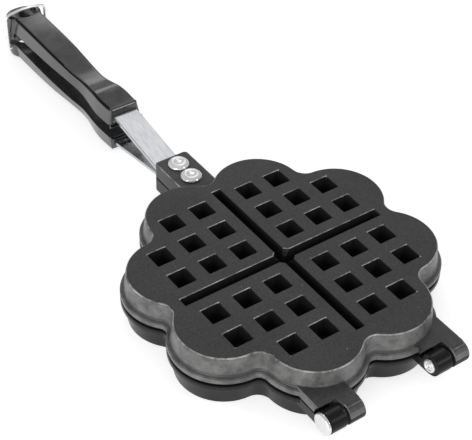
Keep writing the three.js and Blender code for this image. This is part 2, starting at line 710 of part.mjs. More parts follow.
// One half of the iron, drawn with its outer face up
function makeHalf(side, coating, holdsBail) {
  const half = new THREE.Group();
  half.add(piece(`${side}_plate`, makePlate(), coating));
  half.add(piece(`${side}_strap`, makeStrap(), satinSteel));
  half.add(piece(`${side}_grip`, makeGrip(holdsBail), phenolic));
  for (const [place, reach] of Object.entries(RIVET_REACHES)) {
    const rivet = piece(`${side}_lug_rivet_${place}`, makeRivet(), polishedSteel);
    rivet.rotation.x = Math.PI / 2;
    rivet.position.x = -reach;
    half.add(rivet);
  }
  const screw = piece(`${side}_grip_screw`, makeScrew(), polishedSteel);
  screw.rotation.x = Math.PI / 2;
  screw.position.x = -SCREW_REACH;
  half.add(screw);
  return half;
}

const iron = new THREE.Group();
iron.position.set(PLATE_CENTRE_X, 0, PLATE_HEIGHT);
const upperHalf = makeHalf('upper', castCoating, false);
const lowerHalf = makeHalf('lower', lowerCoating, true);
lowerHalf.rotation.x = Math.PI;
iron.add(upperHalf, lowerHalf);

for (const [side, sign] of [['left', -1], ['right', 1]]) {
  const pin = piece(`${side}_hinge_pin`, makePin(side === 'left'), polishedSteel);
  pin.position.set(PIN_REACH, sign * ARM_OFFSET, 0);
  pin.rotation.x = sign > 0 ? 0 : Math.PI;
  iron.add(pin);
}

const bail = piece('latch_bail', makeBail(), polishedSteel);
bail.position.x = -BAIL_REACH;
iron.add(bail);

iron.updateMatrixWorld(true);

export default iron;
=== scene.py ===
# Stovetop waffle iron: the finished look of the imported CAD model.
# Metres, in the CAD model's frame: the handles point to -X and the hinge lies at +X.
# Each half is modelled with its outer face up, measured from the middle of the plates
# and from the plane where they meet, and is then set down as the upper or lower half.
import math

import bmesh
import bpy
from mathutils import Matrix, Vector


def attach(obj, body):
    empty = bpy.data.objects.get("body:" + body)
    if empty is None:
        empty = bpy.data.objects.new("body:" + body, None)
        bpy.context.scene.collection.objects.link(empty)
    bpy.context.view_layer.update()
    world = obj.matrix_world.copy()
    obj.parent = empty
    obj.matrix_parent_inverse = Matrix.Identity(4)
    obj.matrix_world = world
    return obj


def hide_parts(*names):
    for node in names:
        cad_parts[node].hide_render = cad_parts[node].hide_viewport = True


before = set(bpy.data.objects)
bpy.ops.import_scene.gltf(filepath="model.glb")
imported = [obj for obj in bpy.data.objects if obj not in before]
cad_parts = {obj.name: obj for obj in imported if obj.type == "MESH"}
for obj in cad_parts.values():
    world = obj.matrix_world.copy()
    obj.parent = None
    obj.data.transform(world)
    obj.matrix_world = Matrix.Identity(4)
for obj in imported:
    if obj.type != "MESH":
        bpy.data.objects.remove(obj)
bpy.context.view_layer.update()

# Where the halves sit
CENTRE_X = 0.10585
PARTING_Z = 0.0164

# Gaps between pieces, how far a cutter runs past a face, and what counts as the same place
FIT_GAP = 0.0003
KNUCKLE_GAP = 0.002
OVERRUN = 0.002
JOIN_DISTANCE = 2e-6
TOLERANCE = 1e-5

# Sides of the round pieces and steps of the curves
ROUND_SIDES = 48
KNUCKLE_SIDES = 64
BAIL_HOLE_SIDES = 24
WIRE_SIDES = 16
LOBE_STEPS = 30
NOTCH_STEPS = 10
HEART_STEPS = 24
RING_STEPS = 48
FOOT_BEND_STEPS = 8
SHOULDER_STEPS = 10
ARCH_STEPS = 12

# How far a face's normal points along an axis: level or square to it, facing it, or half turned to it
LEVEL = 0.97
SQUARE = 0.95
FACING = 0.9
TURNED = 0.5

# Plate
PLATE_HEIGHT = 0.0164
HALF_GAP = 0.0006
LOBE_COUNT = 8
LOBE_RADIUS = 0.0267
LOBE_REACH = 0.0604
NOTCH_RADIUS = 0.0084
FLANGE_WIDTH = 0.0035
FLANGE_HEIGHT = 0.0036
WALL_DRAFT = 0.0013
TOP_ROUND = 0.0011
FOOT_FILLET = 0.0017
FLANGE_ROUND = 0.0005
GAP_ROUND = 0.0009
WALL_REACH = 0.0735
# Faces narrower than this on upward edges take a painted highlight
EDGE_HIGHLIGHT_WIDTH = 0.0006

# Inside of the plate
ROOF_THICKNESS = 0.0045
RIM_WIDTH = 0.0052
CAVITY_DRAFT = 0.0012
RIDGE_WIDTH = 0.0084
STUD_PITCH = 0.02
STUD_FIRST = 0.0161
STUD_ROWS = 3
STUD_BASE = 0.0132
STUD_TIP = 0.0104
STUD_SETBACK = 0.0031
POCKET_MOUTH = 0.0112
POCKET_FLOOR = 0.0074
POCKET_DEPTH = 0.0108
POCKET_LIP = 0.0007
LIP_SHARES = (0.3, 0.7)
POCKET_CORNER = 0.0005
POCKET_FOOT_SHARE = 0.6
GROOVE_WIDTH = 0.0054
GROOVE_FLOOR = 0.0034
GROOVE_DEPTH = 0.009
GROOVE_REACH = 0.066
CROSS_CORNER = 0.0024
CROSS_DEPTH = 0.0038

# Hinge
PIN_REACH = 0.0958
KNUCKLE_RADIUS = 0.0064
KNUCKLE_ROUND = 0.0004
ARM_WIDTH = 0.0216
ARM_OFFSET = 0.0348
ARM_ROOT = 0.066
NOTCH_REACH = 0.0912
PIN_RADIUS = 0.0032
PIN_HEAD_RADIUS = 0.0062
PIN_HEAD_HEIGHT = 0.0016
PIN_TAIL_RADIUS = 0.0039
PIN_TAIL_HEIGHT = 0.0012

# Lug and rivets
LUG_REACH = 0.1148
LUG_WIDTH = 0.0228
LUG_HEIGHT = 0.01
LUG_CORNER = 0.0026
LUG_ROUND = 0.00088
LUG_ROOT = 0.066
RIVET_REACHES = {"front": 0.0916, "rear": 0.1054}
RIVET_RADIUS = 0.0025
RIVET_HEAD_RADIUS = 0.0064
RIVET_HEAD_HEIGHT = 0.0025

# Profiles from the edge inwards: the share of the radius, and of the height there
RIVET_CROWN_SHARES = (
    (0.98, 0.2), (0.94, 0.36), (0.87, 0.53), (0.78, 0.68), (0.67, 0.77), (0.58, 0.8), (0.52, 0.77),
    (0.47, 0.77), (0.42, 0.85), (0.34, 0.94), (0.24, 0.99), (0.12, 1), (0, 1),
)
PIN_END_SHARES = (
    (1, 0), (1, 0.62), (0.93, 0.9), (0.8, 1), (0.62, 1), (0.57, 0.82), (0.5, 0.82), (0.45, 0.97),
    (0.2, 0.97), (0.14, 0.7), (0, 0.66),
)
PIN_HEAD_SHARES = ((1, 0), (1, 0.55), (0.96, 0.85), (0.88, 1), (0, 1))

# Strap
STRAP_WIDTH = 0.0164
STRAP_THICKNESS = 0.0025
STRAP_LIFT = 0.0009
STRAP_ROOT = 0.084
STRAP_BEND_REACH = 0.119
STRAP_CRANK_REACH = 0.1663
STRAP_END_REACH = 0.2528
STRAP_RISE = math.radians(9.2)
STRAP_BEND_LENGTH = 0.0016
STRAP_ROUND = 0.00045

# Grip
GRIP_FRONT_REACH = 0.1643
GRIP_LENGTH = 0.1496
GRIP_WIDTH = 0.0204
GRIP_FLARE = 0.0017
GRIP_DEPTH = 0.0116
GRIP_LIFT = 0.0043
GRIP_CREASE = 0.0009
CREASE_ROUND = 0.00063
GRIP_ROUND = 0.0016
COLLAR_LENGTH = 0.002
COLLAR_STEP = 0.0012
COLLAR_LIPS = 2
COLLAR_ROUND_SHARE = 0.35
RING_RADIUS = 0.0134
RING_END_SLOPE = 0.004
HOLE_LENGTH = 0.0166
HOLE_WIDTH = 0.0158
HOLE_LIP = 0.0006
GRIP_STATIONS = 56
RING_CUT_SHARES = (-0.3, -0.15, 0, 0.15, 0.3, 0.45, 0.6, 0.75, 0.9)

# Along the grip: the share of its length, and of its depth or width there
OUTER_FACE_SHARES = (
    (0, 0.95), (0.058, 0.99), (0.165, 1), (0.205, 0.92), (0.25, 0.83), (0.3, 0.79), (0.369, 0.78),
    (0.456, 0.84), (0.543, 0.91), (0.64, 0.96), (0.757, 0.99), (0.883, 0.99),
)
INNER_FACE_SHARES = (
    (0, 0), (0.136, 0), (0.194, 0.05), (0.291, 0.12), (0.369, 0.16), (0.485, 0.13),
    (0.63, 0.09), (0.776, 0.03), (1, 0),
)
HALF_WIDTH_SHARES = (
    (0, 0.455), (0.048, 0.475), (0.126, 0.485), (0.184, 0.445), (0.252, 0.385), (0.301, 0.37),
    (0.369, 0.4), (0.456, 0.43), (0.543, 0.455), (0.679, 0.465), (0.834, 0.465),
)

# Bail
WIRE_RADIUS = 0.001
BAIL_SETBACK = 0.003
BAIL_DEPTH = 0.008
BAIL_SHOULDER = 0.0176
BAIL_BEND = 0.003
BAIL_FOOT_BEND = 0.0016
BAIL_TAIL = 0.0046
BAIL_ARCH_ANGLE = math.radians(16)

GRIP_END_REACH = GRIP_FRONT_REACH + GRIP_LENGTH
RING_REACH = GRIP_END_REACH - RING_RADIUS
BAIL_REACH = RING_REACH - BAIL_SETBACK
RING_SIDE = RING_RADIUS + FIT_GAP + WIRE_RADIUS

# Coatings: the darkest and lightest tone on top; down the sides, as painted light that makes the walls paler
# than the top; on the pale specks and the painted highlight on narrow edges; then the sheen
COATINGS = {
    "upper": {
        "top": ((0.019, 0.019, 0.02), (0.05, 0.05, 0.051)),
        "side": ((0.07, 0.069, 0.068), (0.21, 0.206, 0.204)),
        "specks_and_edge_highlight": ((0.09, 0.09, 0.09), (0.5, 0.5, 0.5)),
        "smoothest": 0.38, "roughest": 0.48, "shine": 0.45,
    },
    "lower": {
        "top": ((0.006, 0.006, 0.007), (0.014, 0.014, 0.015)),
        "side": ((0.004, 0.004, 0.005), (0.014, 0.014, 0.015)),
        "specks_and_edge_highlight": ((0.01, 0.01, 0.01), (0.06, 0.06, 0.06)),
        "smoothest": 0.16, "roughest": 0.3, "shine": 0.26,
    },
}
SPECK_RANGE = (0.77, 0.8)
# Painted shade in the pockets, grooves and the gap between the halves, with less shine there
RECESS_PAINTED_SHADE_COLOUR = (0.013, 0.013, 0.013)
RECESS_SHINE = 0.4

# Where a plate's faces take painted light down the walls and on the ledge, painted shade in the fillets, a
# painted highlight on narrow edges, or painted shade in a recess
FOOT_LEAN = 0.25
FOOT_PAINTED_LIGHT_SHARE = 0.25
LEDGE_PAINTED_LIGHT_SHARE = 0.95
ARM_PAINTED_LIGHT_SHARE = 0.16
OUTWARD_LEAN = 0.2
EDGE_HIGHLIGHT_LEAN = 0.6
HINGE_LEAN = 0.15
RECESS_LEAN = 0.05
RECESS_LIP_SHARE = 0.35

# Steels
STRAP_TONES = ((0.5, 0.51, 0.535), (0.55, 0.56, 0.58))
STRAP_ROUGHNESS = (0.18, 0.3)
PIN_TONE = 0.78
RIVET_TONE = 0.95
PLATED_SPREAD = 0.04
PLATED_METAL_SHARE = 0.6
PLATED_ROUGHNESS = (0.12, 0.2)

# Moulding
MOULDED_TONES = ((0.032, 0.032, 0.033), (0.046, 0.046, 0.047))
MOULDED_ROUGHNESS = (0.1, 0.18)
MOULDED_IOR = 1.75
MOULDED_SHINE = 0.5
# Painted shade along the grip's rolled edges and on its front block's top, with less shine there
ROLLED_PAINTED_SHADE_COLOUR = (0.002, 0.002, 0.002)
ROLLED_SHINE = 0.1
ROLLED_LEAN = 0.25
FRONT_LEAN = 0.3
BLOCK_PAINTED_SHADE_SHARE = 0.2
BLOCK_SHARE = 0.16

# Floor and sky
SKY_STRENGTH = 0.45
FLOOR_SIZE = 60
FLOOR_TONE = 0.86
FLOOR_ROUGHNESS = 0.9
FLOOR_GLOW = 0.61

# Lamps: each one's name, place, aim, size and power
LAMPS = (
    ("key", (-0.85, 0.81, 1.35), (0, 0, 0), (0.6, 0.8), 1.4),
    ("front", (0.8, -1.25, 0.45), (0, 0, 0.02), (1.3, 0.8), 12),
    ("right", (1.2, 0.72, 0.75), (0, 0, 0.02), (0.3, 0.5), 3),
    ("step", (-1.26, 0.67, 0.7), (-0.09, 0, 0.03), (0.3, 0.3), 0.4),
)

# Camera, solved from the photo's grid of squares; its place is in steps of that grid
CAMERA_SENSOR = 36
CAMERA_LENS = 99.041
CAMERA_RIGHT = (0.574038, 0.818527, 0.022235)
CAMERA_DOWN = (0.544946, -0.361625, -0.756479)
CAMERA_AHEAD = (-0.611158, 0.446365, -0.65364)
CAMERA_STEPS = (20.3787, -16.5438, 23.8663)


# Handling of objects
def take(piece):
    """Makes one object the only selected and active one."""
    bpy.ops.object.select_all(action="DESELECT")
    bpy.context.view_layer.objects.active = piece
    piece.select_set(True)
    return piece


def open_mesh(piece):
    take(piece)
    bpy.ops.object.mode_set(mode="EDIT")
    bpy.ops.mesh.select_mode(type="VERT")


def close_mesh():
    bpy.ops.object.mode_set(mode="OBJECT")


def pick(kind, test):
    """Selects the open mesh's verts, edges or faces that pass a test."""
    mesh = bpy.context.edit_object.data
    bpy.ops.mesh.select_all(action="DESELECT")
    bpy.ops.mesh.select_mode(type={"verts": "VERT", "edges": "EDGE", "faces": "FACE"}[kind])
    form = bmesh.from_edit_mesh(mesh)
    form.normal_update()
    chosen = 0
    for element in getattr(form, kind):
        if test(element):
            element.select_set(True)
            chosen += 1
    bmesh.update_edit_mesh(mesh)
    return chosen


def added(name):
    """The primitive just added, with its place moved into its mesh."""
    piece = bpy.context.active_object
    piece.name = name
    bpy.ops.object.transform_apply(location=True, rotation=True, scale=True)
    return piece


def add_block(name, low, high):
    bpy.ops.object.select_all(action="DESELECT")
    middle = [(a + b) / 2 for a, b in zip(low, high)]
    size = [b - a for a, b in zip(low, high)]
    bpy.ops.mesh.primitive_cube_add(size=1, location=middle, scale=size)
    return added(name)


def add_rod(name, radius, start, end, sides=ROUND_SIDES):
    """A cylinder between two points that share two of their coordinates."""
    bpy.ops.object.select_all(action="DESELECT")
    start, end = Vector(start), Vector(end)
    turn = Vector((0, 0, 1)).rotation_difference(end - start).to_euler()
    bpy.ops.mesh.primitive_cylinder_add(
        vertices=sides, radius=radius, depth=(end - start).length,
        location=(start + end) / 2, rotation=turn,
    )
    return added(name)


def add_point(name, place):
    """A mesh of one selected vertex, left open for editing."""
    bpy.ops.object.select_all(action="DESELECT")
    bpy.ops.mesh.primitive_plane_add(size=OVERRUN, location=(0, 0, 0))
    point = added(name)
    open_mesh(point)
    bpy.ops.mesh.select_all(action="SELECT")
    bpy.ops.mesh.merge(type="CENTER")
    bpy.ops.transform.translate(value=place)
    return point


def draw_line(step):
    bpy.ops.mesh.extrude_region_move(TRANSFORM_OT_translate={"value": step})


def draw_arc(centre, angle, steps, axis=(0, 0, 1)):
    """Carries what is selected round an axis; a positive angle follows the right-hand rule."""
    bpy.ops.mesh.spin(steps=steps, angle=-angle, center=centre, axis=axis)


def fill_outline():
    """Closes the open mesh's chain of edges and fills it with a face that looks up."""
    bpy.ops.mesh.select_all(action="SELECT")
    bpy.ops.mesh.remove_doubles(threshold=JOIN_DISTANCE / 2)
    bpy.ops.mesh.edge_face_add()
    form = bmesh.from_edit_mesh(bpy.context.edit_object.data)
    form.normal_update()
    if next(iter(form.faces)).normal.z < 0:
        bpy.ops.mesh.flip_normals()


def round_edges(test, width, segments):
    if pick("edges", test):
        bpy.ops.mesh.bevel(offset=width, segments=segments, profile=0.5, affect="EDGES")


def near(value, target):
    return abs(value - target) < TOLERANCE


def at_height(edge, height):
    return all(near(vert.co.z, height) for vert in edge.verts)


def is_upright(edge):
    return near(edge.verts[0].co.x, edge.verts[1].co.x) and near(edge.verts[0].co.y, edge.verts[1].co.y)


def runs_along(edge):
    return near(edge.verts[0].co.y, edge.verts[1].co.y) and not near(edge.verts[0].co.x, edge.verts[1].co.x)


def rises(edge):
    return not near(edge.verts[0].co.z, edge.verts[1].co.z)


def leans(edge):
    """An edge that climbs a grip's side, past its crease."""
    return abs(edge.verts[0].co.z - edge.verts[1].co.z) > 2 * GRIP_CREASE


def meets(edge, test):
    """Says if a face beside an edge passes a test."""
    return any(test(face) for face in edge.link_faces)


def face_outwards():
    bpy.ops.mesh.select_all(action="SELECT")
    bpy.ops.mesh.remove_doubles(threshold=JOIN_DISTANCE)
    bpy.ops.mesh.normals_make_consistent(inside=False)


def apply_modifier(piece, modifier):
    take(piece)
    bpy.ops.object.modifier_apply(modifier=modifier.name)


def combine(piece, other, operation):
    """Adds another solid to a piece or cuts it away, and removes the other."""
    boolean = piece.modifiers.new("combine", "BOOLEAN")
    boolean.operation = operation
    boolean.solver = "MANIFOLD"
    boolean.object = other
    apply_modifier(piece, boolean)
    bpy.data.objects.remove(other)
    return piece


def join_pieces(pieces):
    bpy.ops.object.select_all(action="DESELECT")
    for piece in pieces:
        piece.select_set(True)
    bpy.context.view_layer.objects.active = pieces[0]
    bpy.ops.object.join()
    return pieces[0]


def copy_of(piece, name, move=(0, 0, 0), turn=0):
    """A copy with a mesh of its own, turned about Z and then moved."""
    copy = piece.copy()
    copy.data = piece.data.copy()
    copy.name = name
    bpy.context.scene.collection.objects.link(copy)
    take(copy)
    copy.rotation_euler = (0, 0, turn)
    copy.location = move
    bpy.ops.object.transform_apply(location=True, rotation=True, scale=True)
    return copy


def set_down(piece, side):
    """Moves a piece of a half to its place in the whole iron."""
    take(piece)
    piece.rotation_euler = (math.pi if side == "lower" else 0, 0, 0)
    piece.location = (CENTRE_X, 0, PARTING_Z)
    bpy.ops.object.transform_apply(location=True, rotation=True, scale=True)
    return piece


def smooth(piece, angle=32):
    take(piece)
    bpy.ops.object.shade_smooth_by_angle(angle=math.radians(angle))
    weighted = piece.modifiers.new("even shading", "WEIGHTED_NORMAL")
    weighted.keep_sharp = True
    weighted.weight = 80
    apply_modifier(piece, weighted)
    return piece


def hand_over(piece, node, body, finish):
    """Gives a finished piece its material, its body and the CAD node that it stands for."""
    piece.name = f"{node}_look"
    piece.data.name = piece.name
    piece.data.materials.clear()
    piece.data.materials.append(finish)
    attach(piece, body)
    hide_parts(node)


# Materials
def new_finish(name, colour, roughness, metallic=0.0):
    finish = bpy.data.materials.new(name)
    finish.use_nodes = True
    shader = finish.node_tree.nodes["Principled BSDF"]
    shader.inputs["Base Color"].default_value = (*colour, 1)
    shader.inputs["Roughness"].default_value = roughness
    shader.inputs["Metallic"].default_value = metallic
    return finish, shader


def object_pattern(finish, scale, detail, stretch=(1, 1, 1), roughness=0.5):
    """Noise on the object's own coordinates."""
    nodes, links = finish.node_tree.nodes, finish.node_tree.links
    place = nodes.new("ShaderNodeTexCoord")
    mapping = nodes.new("ShaderNodeMapping")
    mapping.inputs["Scale"].default_value = stretch
    noise = nodes.new("ShaderNodeTexNoise")
    noise.inputs["Scale"].default_value = scale
    noise.inputs["Detail"].default_value = detail
    noise.inputs["Roughness"].default_value = roughness
    links.new(place.outputs["Object"], mapping.inputs["Vector"])
    links.new(mapping.outputs["Vector"], noise.inputs["Vector"])
    return noise.outputs["Fac"]


def blend_range(finish, source, low, high, from_low=0.3, from_high=0.7):
    """Spreads a pattern between two plain values."""
    spread = finish.node_tree.nodes.new("ShaderNodeMapRange")
    spread.inputs["From Min"].default_value = from_low
    spread.inputs["From Max"].default_value = from_high
    spread.inputs["To Min"].default_value = low
    spread.inputs["To Max"].default_value = high
    finish.node_tree.links.new(source, spread.inputs["Value"])
    return spread.outputs["Result"]


def blend_colour(finish, source, dark, light, from_low=0.3, from_high=0.7):
    ramp = finish.node_tree.nodes.new("ShaderNodeValToRGB")
    ramp.color_ramp.elements[0].position = from_low
    ramp.color_ramp.elements[1].position = from_high
    ramp.color_ramp.elements[0].color = (*dark, 1)
    ramp.color_ramp.elements[1].color = (*light, 1)
    finish.node_tree.links.new(source, ramp.inputs["Fac"])
    return ramp.outputs["Color"]


def add_relief(finish, shader, source, depth, strength=1.0, under=None):
    bump = finish.node_tree.nodes.new("ShaderNodeBump")
    bump.inputs["Distance"].default_value = depth
    bump.inputs["Strength"].default_value = strength
    links = finish.node_tree.links
    links.new(source, bump.inputs["Height"])
    if under:
        links.new(under, bump.inputs["Normal"])
    links.new(bump.outputs["Normal"], shader.inputs["Normal"])
    return bump.outputs["Normal"]


def mesh_value(finish, name):
    """A value that the piece's own mesh carries."""
    value = finish.node_tree.nodes.new("ShaderNodeAttribute")
    value.attribute_name = name
    return value.outputs["Fac"]


def mix_colours(finish, share, first, second):
    """Goes from the first colour to the second as the share goes from 0 to 1."""
    blend = finish.node_tree.nodes.new("ShaderNodeMix")
    blend.data_type = "RGBA"
    for source, socket in ((share, "Factor"), (first, "A"), (second, "B")):
        target = next(s for s in blend.inputs if s.name == socket and s.enabled)
        if isinstance(source, tuple):
            target.default_value = (*source, 1)
        else:
            finish.node_tree.links.new(source, target)
    return next(s for s in blend.outputs if s.enabled)


def make_coating(name, top, side, specks_and_edge_highlight, smoothest, roughest, shine):
    """Satin coating over a cast surface: a sandy grain and pale specks, painted light that makes the sides
    paler, a painted highlight on narrow edges, and painted shade in the recesses.
    """
    finish, shader = new_finish(name, top[1], roughest)
    shader.inputs["Specular IOR Level"].default_value = shine
    links = finish.node_tree.links
    cloud = object_pattern(finish, scale=45, detail=4)
    grain = object_pattern(finish, scale=800, detail=4, roughness=0.75)
    pits = object_pattern(finish, scale=420, detail=2)
    patches = object_pattern(finish, scale=110, detail=8, roughness=0.75)
    top_colour = blend_colour(finish, grain, *top, from_low=0.36, from_high=0.66)
    # Painted light: the walls' paler tones
    painted_wall_light_colour = blend_colour(finish, patches, *side, from_low=0.36, from_high=0.64)
    painted_edge_highlight_colour = blend_colour(finish, patches, *specks_and_edge_highlight, from_low=0.4, from_high=0.62)
    speck_share = blend_range(finish, pits, 0, 1, *SPECK_RANGE)
    colour = mix_colours(finish, mesh_value(finish, "painted_light_share"), top_colour, painted_wall_light_colour)
    colour = mix_colours(finish, speck_share, colour, specks_and_edge_highlight[1])
    # Painted highlight on narrow upward edges
    colour = mix_colours(finish, mesh_value(finish, "painted_edge_light_and_shade"), colour, painted_edge_highlight_colour)
    # Painted shade in the recesses
    recess = mesh_value(finish, "painted_recess_shade_share")
    colour = mix_colours(finish, recess, colour, RECESS_PAINTED_SHADE_COLOUR)
    level = blend_range(finish, recess, shine, shine * RECESS_SHINE, from_low=0, from_high=1)
    links.new(colour, shader.inputs["Base Color"])
    links.new(level, shader.inputs["Specular IOR Level"])
    links.new(blend_range(finish, cloud, smoothest, roughest), shader.inputs["Roughness"])
    slow = add_relief(finish, shader, pits, depth=0.00008, strength=0.4)
    add_relief(finish, shader, grain, depth=0.00008, strength=0.5, under=slow)
    return finish


def make_flat_steel():
    """Satin flat bar, with a lengthwise grain."""
    finish, shader = new_finish("satin flat bar", STRAP_TONES[1], STRAP_ROUGHNESS[1], metallic=1.0)
    links = finish.node_tree.links
    lines = object_pattern(finish, scale=900, detail=4, stretch=(0.03, 1, 1))
    cloud = object_pattern(finish, scale=60, detail=3)
    links.new(blend_colour(finish, cloud, *STRAP_TONES), shader.inputs["Base Color"])
    links.new(blend_range(finish, lines, *STRAP_ROUGHNESS), shader.inputs["Roughness"])
    add_relief(finish, shader, lines, depth=0.000004, strength=0.4)
    return finish


def make_bright_steel(name, tone):
    """Plated steel, slightly clouded."""
    dark = (tone - PLATED_SPREAD,) * 3
    light = (tone + PLATED_SPREAD,) * 3
    finish, shader = new_finish(name, light, PLATED_ROUGHNESS[1], metallic=PLATED_METAL_SHARE)
    links = finish.node_tree.links
    cloud = object_pattern(finish, scale=400, detail=3)
    links.new(blend_colour(finish, cloud, dark, light), shader.inputs["Base Color"])
    links.new(blend_range(finish, cloud, *PLATED_ROUGHNESS), shader.inputs["Roughness"])
    add_relief(finish, shader, cloud, depth=0.000006, strength=0.2)
    return finish


def make_moulded_black():
    """Glossy black moulding, slightly uneven in its shine, with painted shade along its rolled edges and on
    its front block's top.
    """
    finish, shader = new_finish("glossy black moulding", MOULDED_TONES[1], MOULDED_ROUGHNESS[1])
    shader.inputs["IOR"].default_value = MOULDED_IOR
    shader.inputs["Specular IOR Level"].default_value = MOULDED_SHINE
    links = finish.node_tree.links
    cloud = object_pattern(finish, scale=120, detail=3)
    ripple = object_pattern(finish, scale=220, detail=2)
    edge = mesh_value(finish, "painted_edge_light_and_shade")
    colour = mix_colours(finish, edge, blend_colour(finish, cloud, *MOULDED_TONES), ROLLED_PAINTED_SHADE_COLOUR)
    level = blend_range(finish, edge, MOULDED_SHINE, ROLLED_SHINE, from_low=0, from_high=1)
    links.new(colour, shader.inputs["Base Color"])
    links.new(level, shader.inputs["Specular IOR Level"])
    links.new(blend_range(finish, cloud, *MOULDED_ROUGHNESS), shader.inputs["Roughness"])
    add_relief(finish, shader, ripple, depth=0.00002, strength=0.4)
    return finish


# Plates
def lobe_layout():
    """Each lobe's and notch's centre, with the half-angle of a lobe's arc."""
    step = 2 * math.pi / LOBE_COUNT
    half_chord = LOBE_REACH * math.sin(step / 2)
    notch_reach = LOBE_REACH * math.cos(step / 2)
    notch_reach += math.sqrt((LOBE_RADIUS + NOTCH_RADIUS) ** 2 - half_chord**2)
    places = []
    for lobe in range(LOBE_COUNT):
        middle = (lobe + 0.5) * step
        centre = Vector((LOBE_REACH * math.cos(middle), LOBE_REACH * math.sin(middle), 0))
        towards = middle + step / 2
        notch = Vector((notch_reach * math.cos(towards), notch_reach * math.sin(towards), 0))
        places.append((middle, centre, notch))
    middle, centre, notch = places[0]
    to_notch = math.atan2(notch.y - centre.y, notch.x - centre.x)
    return places, to_notch - middle, step


def scalloped_face(name, offset, height):
    places, spread, step = lobe_layout()
    middle, centre, _ = places[0]
    arm = LOBE_RADIUS + offset
    begin = middle - spread
    start = centre + Vector((arm * math.cos(begin), arm * math.sin(begin), height))
    face = add_point(name, start)
    for _, centre, notch in places:
        draw_arc((centre.x, centre.y, height), 2 * spread, LOBE_STEPS)
        draw_arc((notch.x, notch.y, height), step - 2 * spread, NOTCH_STEPS)
    fill_outline()
    return face


def plate_shell():
    """The casting's outside: flange, ledge, drafted wall and flat top."""
    flange_top = HALF_GAP + FLANGE_HEIGHT
    shell = scalloped_face("shell", FLANGE_WIDTH, HALF_GAP)
    draw_line((0, 0, FLANGE_HEIGHT))
    bpy.ops.mesh.inset(thickness=FLANGE_WIDTH - WALL_DRAFT, depth=0)
    bpy.ops.mesh.inset(thickness=WALL_DRAFT, depth=PLATE_HEIGHT - flange_top)
    face_outwards()

    def on_wall(face):
        return face.calc_center_median().z > flange_top + OVERRUN

    def on_flange(face):
        return face.calc_center_median().z < flange_top - FLANGE_ROUND

    round_edges(lambda edge: at_height(edge, PLATE_HEIGHT), TOP_ROUND, segments=4)
    round_edges(lambda edge: at_height(edge, flange_top) and meets(edge, on_wall), FOOT_FILLET, segments=4)
    round_edges(lambda edge: at_height(edge, flange_top) and meets(edge, on_flange), FLANGE_ROUND, segments=2)
    round_edges(lambda edge: at_height(edge, HALF_GAP), GAP_ROUND, segments=2)
    face_outwards()
    close_mesh()
    return shell


def stud_places():
    reaches = [STUD_FIRST + row * STUD_PITCH for row in range(STUD_ROWS)]
    quarter = [(x, y) for x in reaches for y in reaches if (x, y) != (reaches[-1], reaches[-1])]
    return [(sx * x, sy * y) for x, y in quarter for sx in (-1, 1) for sy in (-1, 1)]


def sunk_shape(name, mouth, floor, depth):
    """A cutter for a tapered pocket whose mouth opens in a small rounded lip."""
    low = PLATE_HEIGHT - depth
    half_x, half_y = floor[0] / 2, floor[1] / 2
    cutter = add_block(name, (-half_x, -half_y, low - OVERRUN), (half_x, half_y, low))
    open_mesh(cutter)
    pick("faces", lambda face: face.normal.z > FACING)
    short, long = (POCKET_LIP * share for share in LIP_SHARES)
    size = list(floor)
    flared = 0.0
    for rise, flare in ((depth - POCKET_LIP, 0.0), (long, short), (short, long), (OVERRUN, OVERRUN)):
        draw_line((0, 0, rise))
        flared += flare
        wanted = [side + 2 * flared for side in mouth]
        bpy.ops.transform.resize(value=(wanted[0] / size[0], wanted[1] / size[1], 1))
        size = wanted
    pick("verts", lambda vert: vert.co.z < low - OVERRUN / 2)
    bpy.ops.transform.translate(value=(0, 0, OVERRUN - JOIN_DISTANCE))
    bpy.ops.mesh.select_all(action="SELECT")
    bpy.ops.mesh.remove_doubles(threshold=2 * JOIN_DISTANCE)
    round_edges(rises, POCKET_CORNER, segments=3)
    round_edges(lambda edge: at_height(edge, low), POCKET_CORNER * POCKET_FOOT_SHARE, segments=2)
    face_outwards()
    close_mesh()
    return cutter


def heart_cutter():
    """Cuts one heart out of the plate's inner side."""
    ceiling = PLATE_HEIGHT - ROOF_THICKNESS
    reach = LOBE_REACH * math.cos(math.pi / LOBE_COUNT)
    side = LOBE_REACH * math.sin(math.pi / LOBE_COUNT)
    radius = LOBE_RADIUS + FLANGE_WIDTH - RIM_WIDTH
    edge = RIDGE_WIDTH / 2 - CAVITY_DRAFT
    begin = -math.asin((side - edge) / radius)
    across = (reach - side) / math.sqrt(2)
    along = (reach + side) / math.sqrt(2)
    meet = along + math.sqrt(radius**2 - across**2)
    end = math.atan2(meet / math.sqrt(2) - side, meet / math.sqrt(2) - reach)
    first = reach + radius * math.cos(begin)
    heart = add_point("heart", (edge, edge, HALF_GAP))
    draw_line((first - edge, 0, 0))
    draw_arc((reach, side, HALF_GAP), end - begin, HEART_STEPS)
    draw_arc((side, reach, HALF_GAP), end - begin, HEART_STEPS)
    fill_outline()
    draw_line((0, 0, -OVERRUN))
    face_outwards()
    pick("faces", lambda face: near(face.calc_center_median().z, HALF_GAP) and face.normal.z > FACING)
    bpy.ops.mesh.inset(thickness=CAVITY_DRAFT, depth=ceiling - HALF_GAP)
    face_outwards()
    round_edges(lambda line: at_height(line, ceiling), FOOT_FILLET, segments=3)
    close_mesh()
    return heart


